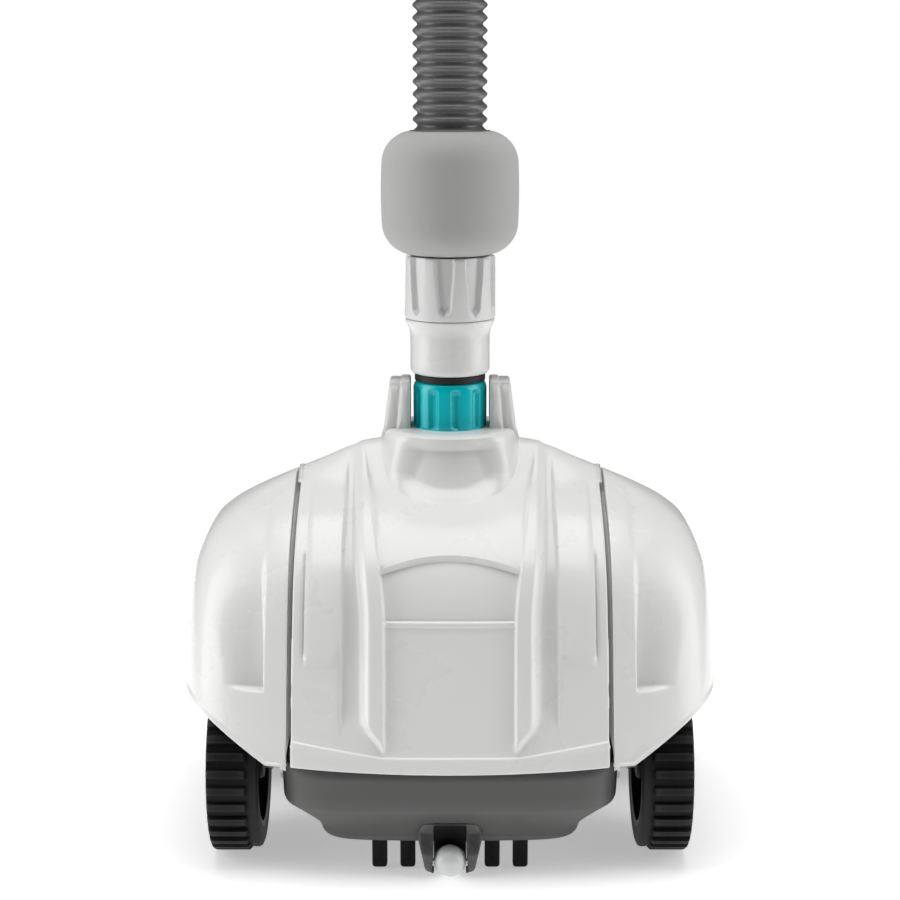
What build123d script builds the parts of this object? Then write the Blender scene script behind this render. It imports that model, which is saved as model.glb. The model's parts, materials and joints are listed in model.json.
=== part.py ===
"""Suction-driven pool cleaner, built as an assembly of separate pieces.

Millimetres. +X is the machine's left-to-right axis, the nose points along -Y and +Z is up. The origin is
on the pool floor, under the hose swivel.
"""

import os
from math import acos, cos, degrees, hypot, pi, sin

from build123d import *

# ---------------------------------------------------------------- driving dimensions
# Body form: height, half width, half length and squareness of each level.
BODY_LEVELS = (
    (64, 153.0, 131.0, 6.0),
    (100, 153.5, 120.0, 6.0),
    (125, 153.3, 111.5, 5.4),
    (145, 152.3, 104.5, 4.8),
    (160, 150.5, 99.0, 4.2),
    (172, 146.5, 93.0, 3.7),
    (182, 141.0, 82.0, 3.3),
    (192, 130.0, 69.0, 2.9),
    (201, 115.0, 58.0, 2.6),
    (210, 96.0, 50.0, 2.4),
    (219, 75.0, 45.0, 2.2),
    (228, 52.0, 42.0, 2.0),
)
OUTLINE_POINTS = 64
# The ends bow out towards the middle of the body by this share of its half length.
END_BOW = 0.11
SHELL_WALL = 2.5
SHELL_BOTTOM = 68
SIDE_WALL_TOP = 200
SEAM_X = 90
SEAM_GAP = 3
BODY_REACH = 400

# Tower on top of the shell, with a cheek on each side of the lock ring.
TOWER_BOTTOM = 214
TOWER_TOP = 236.5
TOWER_RADII = (47, 38)
CHEEK_TOP = 267
CHEEK_OUTER = (40, 35.5)
CHEEK_INNER = 23.5
CHEEK_FOOT = TOWER_TOP - 6
CHEEK_DEPTH = 26
TOWER_HOLLOW_RADIUS = 34
TOWER_HOLLOW_BOTTOM = 200
TOWER_ROOF = 5

# Fender's lower edge, in the front view: it climbs outwards from the foot of the shell to its side.
FENDER_CUT_X = 103
FENDER_EDGE_X = 151
FENDER_EDGE_Z = 98
ARCH_CLEARANCE = 2.5
ARCH_INNER_X = 100
ARCH_OUTER_X = 140

# Wheels.
WHEEL_RADIUS = 51
WHEEL_TRACK_Y = 66
WHEEL_INNER_X = 108
WHEEL_OUTER_X = 137
TYRE_ROOT_RADIUS = 48.2
RIM_RADIUS = 38
RIM_CLEARANCE = 0.02
LUG_COUNT = 32
LUG_WIDTH = 5.2
LUG_HEIGHT = 6
LUG_INNER_X = 115
AXLE_RADIUS = 4
AXLE_SEAT_RADIUS = 7
AXLE_SEAT_DEPTH = 12
AXLE_COLLAR_RADIUS = 10
AXLE_COLLAR_WIDTH = 2
HUB_DISH = 8
HUB_WEB = 3
HUB_RIM_WALL = 4
HUB_BOSS_RADIUS = 9
HUB_POCKET_RADIUS = 7.5
HUB_POCKET_DEPTH = 6
CAP_RADIUS = 9
CAP_SPIGOT_RADIUS = 7.4
CAP_BORE = 5.5
CAP_THICKNESS = 3
CAP_RELIEF = 1.5
CLIP_RADIUS = 6
CLIP_INSET = (5.8, 4.6)
RUNNING_CLEARANCE = 0.05
AXLE_Z = WHEEL_RADIUS

# Base.
BASE_LEVELS = (
    (22, 74.0, 106.0, 9.0),
    (42, 95.5, 126.0, 9.0),
    (66, 96.5, 127.5, 9.0),
)
BASE_BOW = 0.03
BASE_WALL = 3
BASE_BOTTOM = BASE_LEVELS[0][0]
BASE_FLOOR = BASE_BOTTOM + BASE_WALL
BASE_SIDE_X = 96.5
MOUTH = (92, 46)
MOUTH_FRAME = (130, 84)
SKIRT = (124, 78)
SKIRT_WALL = 3
MOUTH_FRAME_CORNER = 10
SKIRT_CORNER = 8
SKIRT_BOTTOM = 5
FRAME_BOTTOM = 17
POST_X = 66
POST_Y = 84
POST_RADIUS = 5
POST_BORE = 1.8
POST_BOTTOM = BASE_FLOOR + 3
POST_TOP = 190
POST_CLEARANCE = 0.5
BOSS_RADIUS = 11
BALLAST_X = (-45, 45)
BALLAST_Y = (-104, -66)
BALLAST_HEIGHT = 12
BALLAST_CORNER = 4
SCREW_HOLE_RADIUS = 2.2
SCREW_HEAD_RADIUS = 4
SCREW_HEAD_HEIGHT = 2.2
SCREW_RADIUS = 1.78
SCREW_LENGTH = 22

# Turbine chamber over the mouth.
TURBINE_Z = 100
CHAMBER_RADIUS = 36
CHAMBER_HALF_WIDTH = 24
CHAMBER_WALL = 3
INLET_HALF_LENGTH = 24
THROAT = 2 * (INLET_HALF_LENGTH - CHAMBER_WALL)
SOCKET_TOP = 144
SOCKET_RADIUS = 23
TURBINE_RADIUS = 30
TURBINE_HALF_WIDTH = 19
BLADE_COUNT = 8
BLADE_WIDTH = 2.4
BLADE_OVERLAP = 4
TURBINE_HUB_RADIUS = 8
SHAFT_RADIUS = 3
SHAFT_OVERHANG = 4
BUSH_RADIUS = 6
SOCKET_DEPTH = 8

# Gears: three equal steps of module 1 from the turbine shaft to the rear axle.
MODULE = 1
SMALL_TEETH = 12
LARGE_TEETH = 48
CENTRE_DISTANCE = MODULE * (SMALL_TEETH + LARGE_TEETH) / 2
GEAR_PLANES = (32, 39, 46)
GEAR_WIDTH = 6
ROOT_DEPTH = 1.25
TIP_HEIGHT = 0.9
GEAR_PIN_RADIUS = 2.5
GEARBOX_INNER_X = 27
GEARBOX_OUTER_X = 54
GEARBOX_PLATE = 2.5
GEARBOX_MARGIN = 27.5
GEARBOX_TURBINE_MARGIN = 10.5
GEARBOX_SPACE = 0.5
GEARBOX_FLOOR_GAP = 0.2
GEAR_HUB_RADIUS = 4.5
SHAFT_HOLE_CLEARANCE = 1

# Suction duct, swivel and hose, all on the Z axis.
DUCT_RADIUS = 20
DUCT_BORE = 17
DUCT_TOP = 262
DUCT_NECK_RADIUS = 19
RING_RADIUS = 21.8
RING_BOTTOM = 237
RING_TOP = 266
SPIGOT_RADIUS = 16.5
SPIGOT_BORE = 14
SPIGOT_BOTTOM = 228
SPIGOT_TOP = 278
SPIGOT_FLANGE_RADIUS = 18.3
SPIGOT_FLANGE = (262.3, 264.2)
LOCK_RING_LIP = 1.5
GRIP_COUNT = 8
GRIP_RADIUS = 2.4
GRIP_OFFSET = 1.2
SEAL_Z = (240, 243)
WASHER_RADIUS = 21
WASHER_GAP = 0.3
NECK_RADIUS = 23.5
NECK_BOTTOM = 270
NECK_TOP = 296
CUFF_RADIUS = 26.8
CUFF_BOTTOM = 303
CUFF_TOP = 340
FLUTE_COUNT = 9
FLUTE_RADIUS = 2
FLUTE_OFFSET = 0.6
FLUTE_START = -77
HOSE_RADIUS = 21.7
HOSE_BORE = 18
HOSE_BOTTOM = 318
HOSE_TOP = 592
FLOAT_RADIUS = 40.5
FLOAT_BOTTOM = 340.5
FLOAT_TOP = 412.5
FLOAT_BORE = 22.4
FLOAT_ROUND = 17
END_CUFF_RADIUS = 26
END_CUFF_BOTTOM = 545
END_CUFF_TOP = 632
SOCKET_BORE = 19.05
SLIDING_CLEARANCE = 0.3
END_RIM = 1.5
END_RIM_HEIGHTS = (12, 9)

# Nose ball and the rubber fingers beside it.
BALL_RADIUS = 9
BALL_Y = -114
BALL_PIN_RADIUS = 1.5
BRACKET_HALF_WIDTH = 13
BRACKET_HALF_LENGTH = 8
BRACKET_BOTTOM = 4
BRACKET_TOP = 40
BALL_CLEARANCE = 0.6
FINGER_X = (23.3, 38.8)
FINGER_WIDTH = 7.6
FINGER_DEPTH = 5
FINGER_Y = 102
FINGER_BOTTOM = 1

os.makedirs("parts", exist_ok=True)
written = []


def keep(part, name):
    """Label a finished piece and write it to its own file."""
    part.label = name
    export_step(part, f"parts/{name}.step")
    written.append(name)


def outline(half_width, half_length, squareness, bow):
    """Points of a superellipse whose ends bow outwards in the middle, anticlockwise."""
    points = []
    for step in range(OUTLINE_POINTS):
        turn = 2 * pi * step / OUTLINE_POINTS
        across = abs(cos(turn)) / half_width
        along = abs(sin(turn)) / half_length
        reach = (across**squareness + along**squareness) ** (-1 / squareness)
        share = reach * cos(turn) / half_width
        points.append((reach * cos(turn), reach * sin(turn) * (1 - bow * share**2)))
    return points


def form(levels, bow, inset, drop, top):
    """Solid through the given levels, drawn in by inset, its foot lowered by drop and its top by top."""
    with BuildPart() as solid:
        for number, (height, half_width, half_length, squareness) in enumerate(levels):
            lowered = drop if number == 0 else top * number / (len(levels) - 1)
            points = outline(half_width - inset, half_length - inset, squareness, bow)
            with BuildSketch(Plane.XY.offset(height - lowered)):
                with BuildLine():
                    Spline(*points, periodic=True)
                make_face()
        loft(ruled=True)
    return solid.part


def ring(outer, inner, bottom, top):
    """Tube on the Z axis, or a disc where there is no inner radius."""
    with BuildPart() as tube:
        with BuildSketch(Plane.XY.offset(bottom)):
            Circle(outer)
            if inner:
                Circle(inner, mode=Mode.SUBTRACT)
        extrude(amount=top - bottom)
    return tube.part


def rod(radius, start, end, y, z, bore=0):
    """Round bar or tube along X."""
    with BuildPart() as bar:
        with BuildSketch(Plane.YZ.offset(start)):
            with Locations((y, z)):
                Circle(radius)
                if bore:
                    Circle(bore, mode=Mode.SUBTRACT)
        extrude(amount=end - start)
    return bar.part


def block(x_range, y_range, z_range):
    """Box between two corners."""
    size = [high - low for low, high in (x_range, y_range, z_range)]
    middle = [(high + low) / 2 for low, high in (x_range, y_range, z_range)]
    return Pos(*middle) * Box(*size, mode=Mode.PRIVATE)


def gear_outline(teeth, centre, first_tooth):
    """Points of a spur gear's edge, in the YZ plane, with a tooth centred at first_tooth degrees."""
    pitch_radius = MODULE * teeth / 2
    root = pitch_radius - ROOT_DEPTH * MODULE
    tip = pitch_radius + TIP_HEIGHT * MODULE
    step = 2 * pi / teeth
    points = []
    for tooth in range(teeth):
        middle = first_tooth * pi / 180 + tooth * step
        for radius, offset in ((root, -0.29), (pitch_radius, -0.2), (tip, -0.1),
                               (tip, 0.1), (pitch_radius, 0.2), (root, 0.29)):
            angle = middle + offset * step
            points.append((centre[0] + radius * cos(angle), centre[1] + radius * sin(angle)))
    return points


def gear(teeth, centre, first_tooth, start, bore):
    """Spur gear along X from start."""
    with BuildPart() as wheel:
        with BuildSketch(Plane.YZ.offset(start)):
            with BuildLine():
                Polyline(*gear_outline(teeth, centre, first_tooth), close=True)
            make_face()
            with Locations(centre):
                Circle(bore, mode=Mode.SUBTRACT)
        extrude(amount=GEAR_WIDTH)
    return wheel.part


# ---------------------------------------------------------------- forms shared by several pieces
body_form = form(BODY_LEVELS, END_BOW, 0, 0, 0)
body_cavity = form(BODY_LEVELS, END_BOW, SHELL_WALL, SHELL_WALL, SHELL_WALL)
base_form = form(BASE_LEVELS, BASE_BOW, 0, 0, 0)
base_cavity = form(BASE_LEVELS, BASE_BOW, BASE_WALL, 0, -1)

seam_inner = SEAM_X - SEAM_GAP / 2
seam_outer = SEAM_X + SEAM_GAP / 2
everywhere = (-BODY_REACH, BODY_REACH)

# ---------------------------------------------------------------- top shell
with BuildPart() as top_shell:
    add(body_form)
    add(body_cavity, mode=Mode.SUBTRACT)
    # Side walls that close the shell towards the wheels.
    for side in (-1, 1):
        wall = sorted((side * (seam_inner - SHELL_WALL), side * seam_inner))
        add(block(wall, everywhere, (SHELL_BOTTOM, SIDE_WALL_TOP)) & body_form)
    # Tower, cheeks and screw posts.
    with BuildSketch(Plane.XY.offset(TOWER_BOTTOM)):
        Circle(TOWER_RADII[0])
    with BuildSketch(Plane.XY.offset(TOWER_TOP)):
        Circle(TOWER_RADII[1])
    loft()
    with BuildSketch(Plane.XZ.offset(-CHEEK_DEPTH / 2)):
        for side in (-1, 1):
            with BuildLine():
                Polyline(
                    (side * CHEEK_INNER, CHEEK_FOOT),
                    (side * CHEEK_OUTER[0], CHEEK_FOOT),
                    (side * CHEEK_OUTER[1], CHEEK_TOP),
                    (side * CHEEK_INNER, CHEEK_TOP),
                    close=True,
                )
            make_face()
    extrude(amount=CHEEK_DEPTH)
    post = ring(POST_RADIUS, POST_BORE, POST_BOTTOM, POST_TOP)
    for side_x in (-1, 1):
        for side_y in (-1, 1):
            placed = Pos(side_x * POST_X, side_y * POST_Y, 0) * post
            add(placed & (body_form + block(everywhere, everywhere, (0, SHELL_BOTTOM))))
    # Hollow of the tower and the way through for the duct.
    add(ring(TOWER_HOLLOW_RADIUS, 0, TOWER_HOLLOW_BOTTOM, TOWER_TOP - TOWER_ROOF), mode=Mode.SUBTRACT)
    add(ring(DUCT_RADIUS + SLIDING_CLEARANCE, 0, TOWER_HOLLOW_BOTTOM, BODY_REACH), mode=Mode.SUBTRACT)
    # Everything below the bottom edge goes, except the posts.
    with BuildSketch(Plane.XY.offset(0)):
        Rectangle(2 * BODY_REACH, 2 * BODY_REACH)
        with GridLocations(2 * POST_X, 2 * POST_Y, 2, 2):
            Circle(POST_RADIUS + POST_CLEARANCE, mode=Mode.SUBTRACT)
    extrude(amount=SHELL_BOTTOM, mode=Mode.SUBTRACT)
    add(block((-seam_inner, seam_inner), everywhere, everywhere), mode=Mode.INTERSECT)
keep(top_shell.part, "top_shell")

# ---------------------------------------------------------------- fenders
for side, name in ((-1, "left_fender"), (1, "right_fender")):
    with BuildPart() as fender:
        add(body_form)
        add(body_cavity, mode=Mode.SUBTRACT)
        wall = sorted((side * seam_outer, side * (seam_outer + SHELL_WALL)))
        add(block(wall, everywhere, (SHELL_BOTTOM, SIDE_WALL_TOP)) & body_form)
        pod = sorted((side * seam_outer, side * BODY_REACH))
        add(block(pod, everywhere, (SHELL_BOTTOM, BODY_REACH)), mode=Mode.INTERSECT)
        # The lower edge, and room for the wheels.
        with BuildSketch(Plane.XZ.offset(-BODY_REACH)):
            with BuildLine():
                Polyline(
                    (side * FENDER_CUT_X, 0),
                    (side * FENDER_CUT_X, SHELL_BOTTOM),
                    (side * FENDER_EDGE_X, FENDER_EDGE_Z),
                    (side * BODY_REACH, FENDER_EDGE_Z),
                    (side * BODY_REACH, 0),
                    close=True,
                )
            make_face()
        extrude(amount=2 * BODY_REACH, mode=Mode.SUBTRACT)
        arch = sorted((side * ARCH_INNER_X, side * ARCH_OUTER_X))
        for wheel_y in (-WHEEL_TRACK_Y, WHEEL_TRACK_Y):
            arch_radius = WHEEL_RADIUS + ARCH_CLEARANCE
            add(rod(arch_radius, arch[0], arch[1], wheel_y, AXLE_Z), mode=Mode.SUBTRACT)
    keep(fender.part, name)

# ---------------------------------------------------------------- base
with BuildPart() as base_chassis:
    add(base_form)
    add(block(everywhere, everywhere, (BASE_FLOOR, BODY_REACH)) & base_cavity, mode=Mode.SUBTRACT)
    for side in (-1, 1):
        for wheel_y in (-WHEEL_TRACK_Y, WHEEL_TRACK_Y):
            boss = sorted((side * (BASE_SIDE_X - AXLE_SEAT_DEPTH), side * (BASE_SIDE_X - BASE_WALL / 2)))
            add(rod(BOSS_RADIUS, boss[0], boss[1], wheel_y, AXLE_Z))
    with BuildSketch(Plane.XY.offset(BASE_BOTTOM)):
        Rectangle(THROAT, THROAT)
        with GridLocations(2 * POST_X, 2 * POST_Y, 2, 2):
            Circle(SCREW_HOLE_RADIUS)
    extrude(amount=BASE_WALL, mode=Mode.SUBTRACT)
    for wheel_y in (-WHEEL_TRACK_Y, WHEEL_TRACK_Y):
        add(rod(AXLE_SEAT_RADIUS, -BODY_REACH, BODY_REACH, wheel_y, AXLE_Z), mode=Mode.SUBTRACT)
keep(base_chassis.part, "base_chassis")

with BuildPart() as mouth_frame:
    with BuildSketch(Plane.XY.offset(FRAME_BOTTOM)):
        RectangleRounded(*MOUTH_FRAME, MOUTH_FRAME_CORNER)
        Rectangle(*MOUTH, mode=Mode.SUBTRACT)
    extrude(amount=BASE_BOTTOM - FRAME_BOTTOM)
keep(mouth_frame.part, "mouth_frame")

with BuildPart() as mouth_skirt:
    with BuildSketch(Plane.XY.offset(SKIRT_BOTTOM)):
        RectangleRounded(*SKIRT, SKIRT_CORNER)
        inside = [size - 2 * SKIRT_WALL for size in SKIRT]
        RectangleRounded(*inside, SKIRT_CORNER - SKIRT_WALL, mode=Mode.SUBTRACT)
    extrude(amount=FRAME_BOTTOM - SKIRT_BOTTOM)
keep(mouth_skirt.part, "mouth_skirt")

for side, name in ((-1, "front_fingers"), (1, "rear_fingers")):
    with BuildPart() as fingers:
        with BuildSketch(Plane.XY.offset(FINGER_BOTTOM)):
            with Locations(*[(mirror_x * x, side * FINGER_Y) for x in FINGER_X for mirror_x in (-1, 1)]):
                Rectangle(FINGER_WIDTH, FINGER_DEPTH)
        extrude(amount=BASE_BOTTOM - FINGER_BOTTOM)
    keep(fingers.part, name)

with BuildPart() as ballast_weight:
    add(block(BALLAST_X, BALLAST_Y, (BASE_FLOOR, BASE_FLOOR + BALLAST_HEIGHT)))
    fillet(ballast_weight.edges().filter_by(Axis.Z), BALLAST_CORNER)
keep(ballast_weight.part, "ballast_weight")

# ---------------------------------------------------------------- nose ball
bracket_x = (-BRACKET_HALF_WIDTH, BRACKET_HALF_WIDTH)
bracket_y = (BALL_Y - BRACKET_HALF_LENGTH, BALL_Y + BRACKET_HALF_LENGTH)
with BuildPart() as nose_bracket:
    add(block(bracket_x, bracket_y, (BRACKET_BOTTOM, BRACKET_TOP)))
    add(base_form, mode=Mode.SUBTRACT)
    fork = BALL_RADIUS + BALL_CLEARANCE
    add(block((-fork, fork), everywhere, (0, BALL_RADIUS)), mode=Mode.SUBTRACT)
    with BuildSketch(Plane.XZ.offset(-BALL_Y - 2 * BRACKET_HALF_LENGTH)):
        with Locations((0, BALL_RADIUS)):
            Circle(fork)
    extrude(amount=4 * BRACKET_HALF_LENGTH, mode=Mode.SUBTRACT)
    add(rod(BALL_PIN_RADIUS, *bracket_x, BALL_Y, BALL_RADIUS), mode=Mode.SUBTRACT)
keep(nose_bracket.part, "nose_bracket")

with BuildPart() as nose_ball:
    ball_bore = BALL_PIN_RADIUS + RUNNING_CLEARANCE
    with BuildSketch(Plane.XZ.offset(-BALL_Y)):
        with Locations((0, BALL_RADIUS)):
            Circle(BALL_RADIUS)
        with Locations((0, BALL_RADIUS + ball_bore)):
            Rectangle(4 * BALL_RADIUS, 2 * BALL_RADIUS, align=(Align.CENTER, Align.MIN), mode=Mode.INTERSECT)
    revolve(axis=Axis((0, BALL_Y, BALL_RADIUS), (1, 0, 0)))
keep(nose_ball.part, "nose_ball")

with BuildPart() as nose_ball_pin:
    add(rod(BALL_PIN_RADIUS, -BRACKET_HALF_WIDTH, BRACKET_HALF_WIDTH, BALL_Y, BALL_RADIUS))
keep(nose_ball_pin.part, "nose_ball_pin")

# ---------------------------------------------------------------- turbine chamber
chamber_bore = CHAMBER_RADIUS - CHAMBER_WALL
for side, name in ((-1, "turbine_housing_left"), (1, "turbine_housing_right")):
    half = sorted((0, side * CHAMBER_HALF_WIDTH))
    inside = sorted((0, side * (CHAMBER_HALF_WIDTH - CHAMBER_WALL)))
    inlet = INLET_HALF_LENGTH
    with BuildPart() as housing:
        add(rod(CHAMBER_RADIUS, half[0], half[1], 0, TURBINE_Z))
        add(block(half, (-inlet, inlet), (BASE_FLOOR, TURBINE_Z)))
        add(block(half, everywhere, everywhere) & ring(SOCKET_RADIUS, 0, TURBINE_Z, SOCKET_TOP))
        add(rod(chamber_bore, inside[0], inside[1], 0, TURBINE_Z), mode=Mode.SUBTRACT)
        throat = (CHAMBER_WALL - inlet, inlet - CHAMBER_WALL)
        add(block(inside, throat, (0, TURBINE_Z)), mode=Mode.SUBTRACT)
        add(ring(DUCT_BORE, 0, TURBINE_Z, BODY_REACH), mode=Mode.SUBTRACT)
        seat_radius = DUCT_RADIUS + RUNNING_CLEARANCE
        add(ring(seat_radius, 0, SOCKET_TOP - SOCKET_DEPTH, BODY_REACH), mode=Mode.SUBTRACT)
        add(rod(BUSH_RADIUS, -BODY_REACH, BODY_REACH, 0, TURBINE_Z), mode=Mode.SUBTRACT)
    keep(housing.part, name)

with BuildPart() as turbine_bushes:
    for side in (-1, 1):
        ends = sorted((side * (CHAMBER_HALF_WIDTH - CHAMBER_WALL), side * CHAMBER_HALF_WIDTH))
        add(rod(BUSH_RADIUS, *ends, 0, TURBINE_Z, SHAFT_RADIUS + RUNNING_CLEARANCE))
keep(turbine_bushes.part, "turbine_bushes")

with BuildPart() as turbine_wheel:
    add(rod(TURBINE_HUB_RADIUS, -TURBINE_HALF_WIDTH, TURBINE_HALF_WIDTH, 0, TURBINE_Z))
    with BuildSketch(Plane.YZ.offset(-TURBINE_HALF_WIDTH)):
        with Locations((0, TURBINE_Z)):
            with PolarLocations((TURBINE_RADIUS + BLADE_OVERLAP) / 2, BLADE_COUNT):
                Rectangle(TURBINE_RADIUS - BLADE_OVERLAP, BLADE_WIDTH)
    extrude(amount=2 * TURBINE_HALF_WIDTH)
    add(rod(SHAFT_RADIUS, -BODY_REACH, BODY_REACH, 0, TURBINE_Z), mode=Mode.SUBTRACT)
keep(turbine_wheel.part, "turbine_wheel")

with BuildPart() as turbine_shaft:
    shaft_start = -CHAMBER_HALF_WIDTH - SHAFT_OVERHANG
    add(rod(SHAFT_RADIUS, shaft_start, GEAR_PLANES[0] + GEAR_WIDTH, 0, TURBINE_Z))
keep(turbine_shaft.part, "turbine_shaft")

# ---------------------------------------------------------------- gear train
# The three steps are of equal length and span the distance from the turbine shaft to the rear axle, so
# the first and last lean by the same angle to that line.
turbine_centre = (0, TURBINE_Z)
axle_centre = (WHEEL_TRACK_Y, AXLE_Z)
span = hypot(axle_centre[0] - turbine_centre[0], axle_centre[1] - turbine_centre[1])
line = ((axle_centre[0] - turbine_centre[0]) / span, (axle_centre[1] - turbine_centre[1]) / span)
lean = acos((span / CENTRE_DISTANCE - 1) / 2)
forward = CENTRE_DISTANCE * cos(lean)
sideways = CENTRE_DISTANCE * sin(lean)
first_centre = (
    turbine_centre[0] + forward * line[0] - sideways * line[1],
    turbine_centre[1] + forward * line[1] + sideways * line[0],
)
second_centre = (
    first_centre[0] + CENTRE_DISTANCE * line[0],
    first_centre[1] + CENTRE_DISTANCE * line[1],
)
half_tooth = 180 / LARGE_TEETH
gear_bore = GEAR_PIN_RADIUS + RUNNING_CLEARANCE


def heading(start, end):
    """Direction from one centre to another, in degrees from +Y."""
    run, rise = end[0] - start[0], end[1] - start[1]
    turn = degrees(acos(run / hypot(run, rise)))
    return turn if rise >= 0 else -turn


first_heading = heading(turbine_centre, first_centre)
second_heading = heading(first_centre, second_centre)
third_heading = heading(second_centre, axle_centre)

with BuildPart() as turbine_pinion:
    add(gear(SMALL_TEETH, turbine_centre, first_heading, GEAR_PLANES[0], SHAFT_RADIUS))
keep(turbine_pinion.part, "turbine_pinion")

compound_gears = (
    ("first_reduction_gear", first_centre, first_heading, second_heading, 0),
    ("second_reduction_gear", second_centre, second_heading, third_heading, 1),
)
for name, centre, heading_in, heading_out, plane_number in compound_gears:
    with BuildPart() as compound:
        large_tooth = heading_in + 180 + half_tooth
        add(gear(LARGE_TEETH, centre, large_tooth, GEAR_PLANES[plane_number], gear_bore))
        small_start = GEAR_PLANES[plane_number] + GEAR_WIDTH
        hub_end = GEAR_PLANES[plane_number + 1]
        add(rod(GEAR_HUB_RADIUS, small_start, hub_end, centre[0], centre[1], gear_bore))
        add(gear(SMALL_TEETH, centre, heading_out, hub_end, gear_bore))
    keep(compound.part, name)

with BuildPart() as axle_gear:
    axle_tooth = third_heading + 180 + half_tooth
    add(gear(LARGE_TEETH, axle_centre, axle_tooth, GEAR_PLANES[2], AXLE_RADIUS))
keep(axle_gear.part, "axle_gear")

with BuildPart() as gear_pins:
    for centre in (first_centre, second_centre):
        add(rod(GEAR_PIN_RADIUS, GEARBOX_INNER_X, GEARBOX_OUTER_X + GEARBOX_PLATE, centre[0], centre[1]))
keep(gear_pins.part, "gear_pins")


def gearbox_slab(margin, start, end):
    """Slab along X whose edge runs round the four gear centres at the given distance."""
    with BuildPart() as slab:
        with BuildSketch(Plane.YZ.offset(start)):
            for centre in (turbine_centre, first_centre, second_centre, axle_centre):
                at_turbine = centre == turbine_centre
                reach = margin - GEARBOX_MARGIN + GEARBOX_TURBINE_MARGIN if at_turbine else margin
                with Locations(centre):
                    Circle(reach)
            make_hull()
        extrude(amount=end - start)
    return slab.part


gearbox_inside = GEARBOX_MARGIN - GEARBOX_PLATE + GEARBOX_SPACE
above_floor = block(everywhere, everywhere, (BASE_FLOOR + GEARBOX_FLOOR_GAP, BODY_REACH))
shaft_hole = SHAFT_RADIUS + SHAFT_HOLE_CLEARANCE
axle_hole = AXLE_RADIUS + SHAFT_HOLE_CLEARANCE
with BuildPart() as gearbox_case:
    add(gearbox_slab(GEARBOX_MARGIN, GEARBOX_INNER_X, GEARBOX_OUTER_X))
    add(
        gearbox_slab(gearbox_inside, GEARBOX_INNER_X + GEARBOX_PLATE, GEARBOX_OUTER_X + 1),
        mode=Mode.SUBTRACT,
    )
    add(rod(shaft_hole, 0, BODY_REACH, *turbine_centre), mode=Mode.SUBTRACT)
    add(rod(axle_hole, 0, BODY_REACH, *axle_centre), mode=Mode.SUBTRACT)
    for centre in (first_centre, second_centre):
        add(rod(GEAR_PIN_RADIUS, 0, BODY_REACH, *centre), mode=Mode.SUBTRACT)
    add(above_floor, mode=Mode.INTERSECT)
keep(gearbox_case.part, "gearbox_case")

with BuildPart() as gearbox_cover:
    add(gearbox_slab(GEARBOX_MARGIN, GEARBOX_OUTER_X, GEARBOX_OUTER_X + GEARBOX_PLATE))
    add(rod(axle_hole, 0, BODY_REACH, *axle_centre), mode=Mode.SUBTRACT)
    for centre in (first_centre, second_centre):
        add(rod(GEAR_PIN_RADIUS, 0, BODY_REACH, *centre), mode=Mode.SUBTRACT)
    add(above_floor, mode=Mode.INTERSECT)
keep(gearbox_cover.part, "gearbox_cover")

# ---------------------------------------------------------------- wheels and axles
axle_end = WHEEL_OUTER_X + 1
with BuildPart() as rear_axle:
    add(rod(AXLE_RADIUS, -axle_end, axle_end, WHEEL_TRACK_Y, AXLE_Z))
keep(rear_axle.part, "rear_axle")

seat_span = (BASE_SIDE_X - AXLE_SEAT_DEPTH, BASE_SIDE_X)
collar_span = (BASE_SIDE_X, BASE_SIDE_X + AXLE_COLLAR_WIDTH)
seat_and_collar = ((AXLE_SEAT_RADIUS, seat_span), (AXLE_COLLAR_RADIUS, collar_span))
with BuildPart() as rear_axle_bushes:
    for side in (-1, 1):
        for radius, (near, far) in seat_and_collar:
            ends = sorted((side * near, side * far))
            add(rod(radius, *ends, WHEEL_TRACK_Y, AXLE_Z, AXLE_RADIUS + RUNNING_CLEARANCE))
keep(rear_axle_bushes.part, "rear_axle_bushes")

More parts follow.
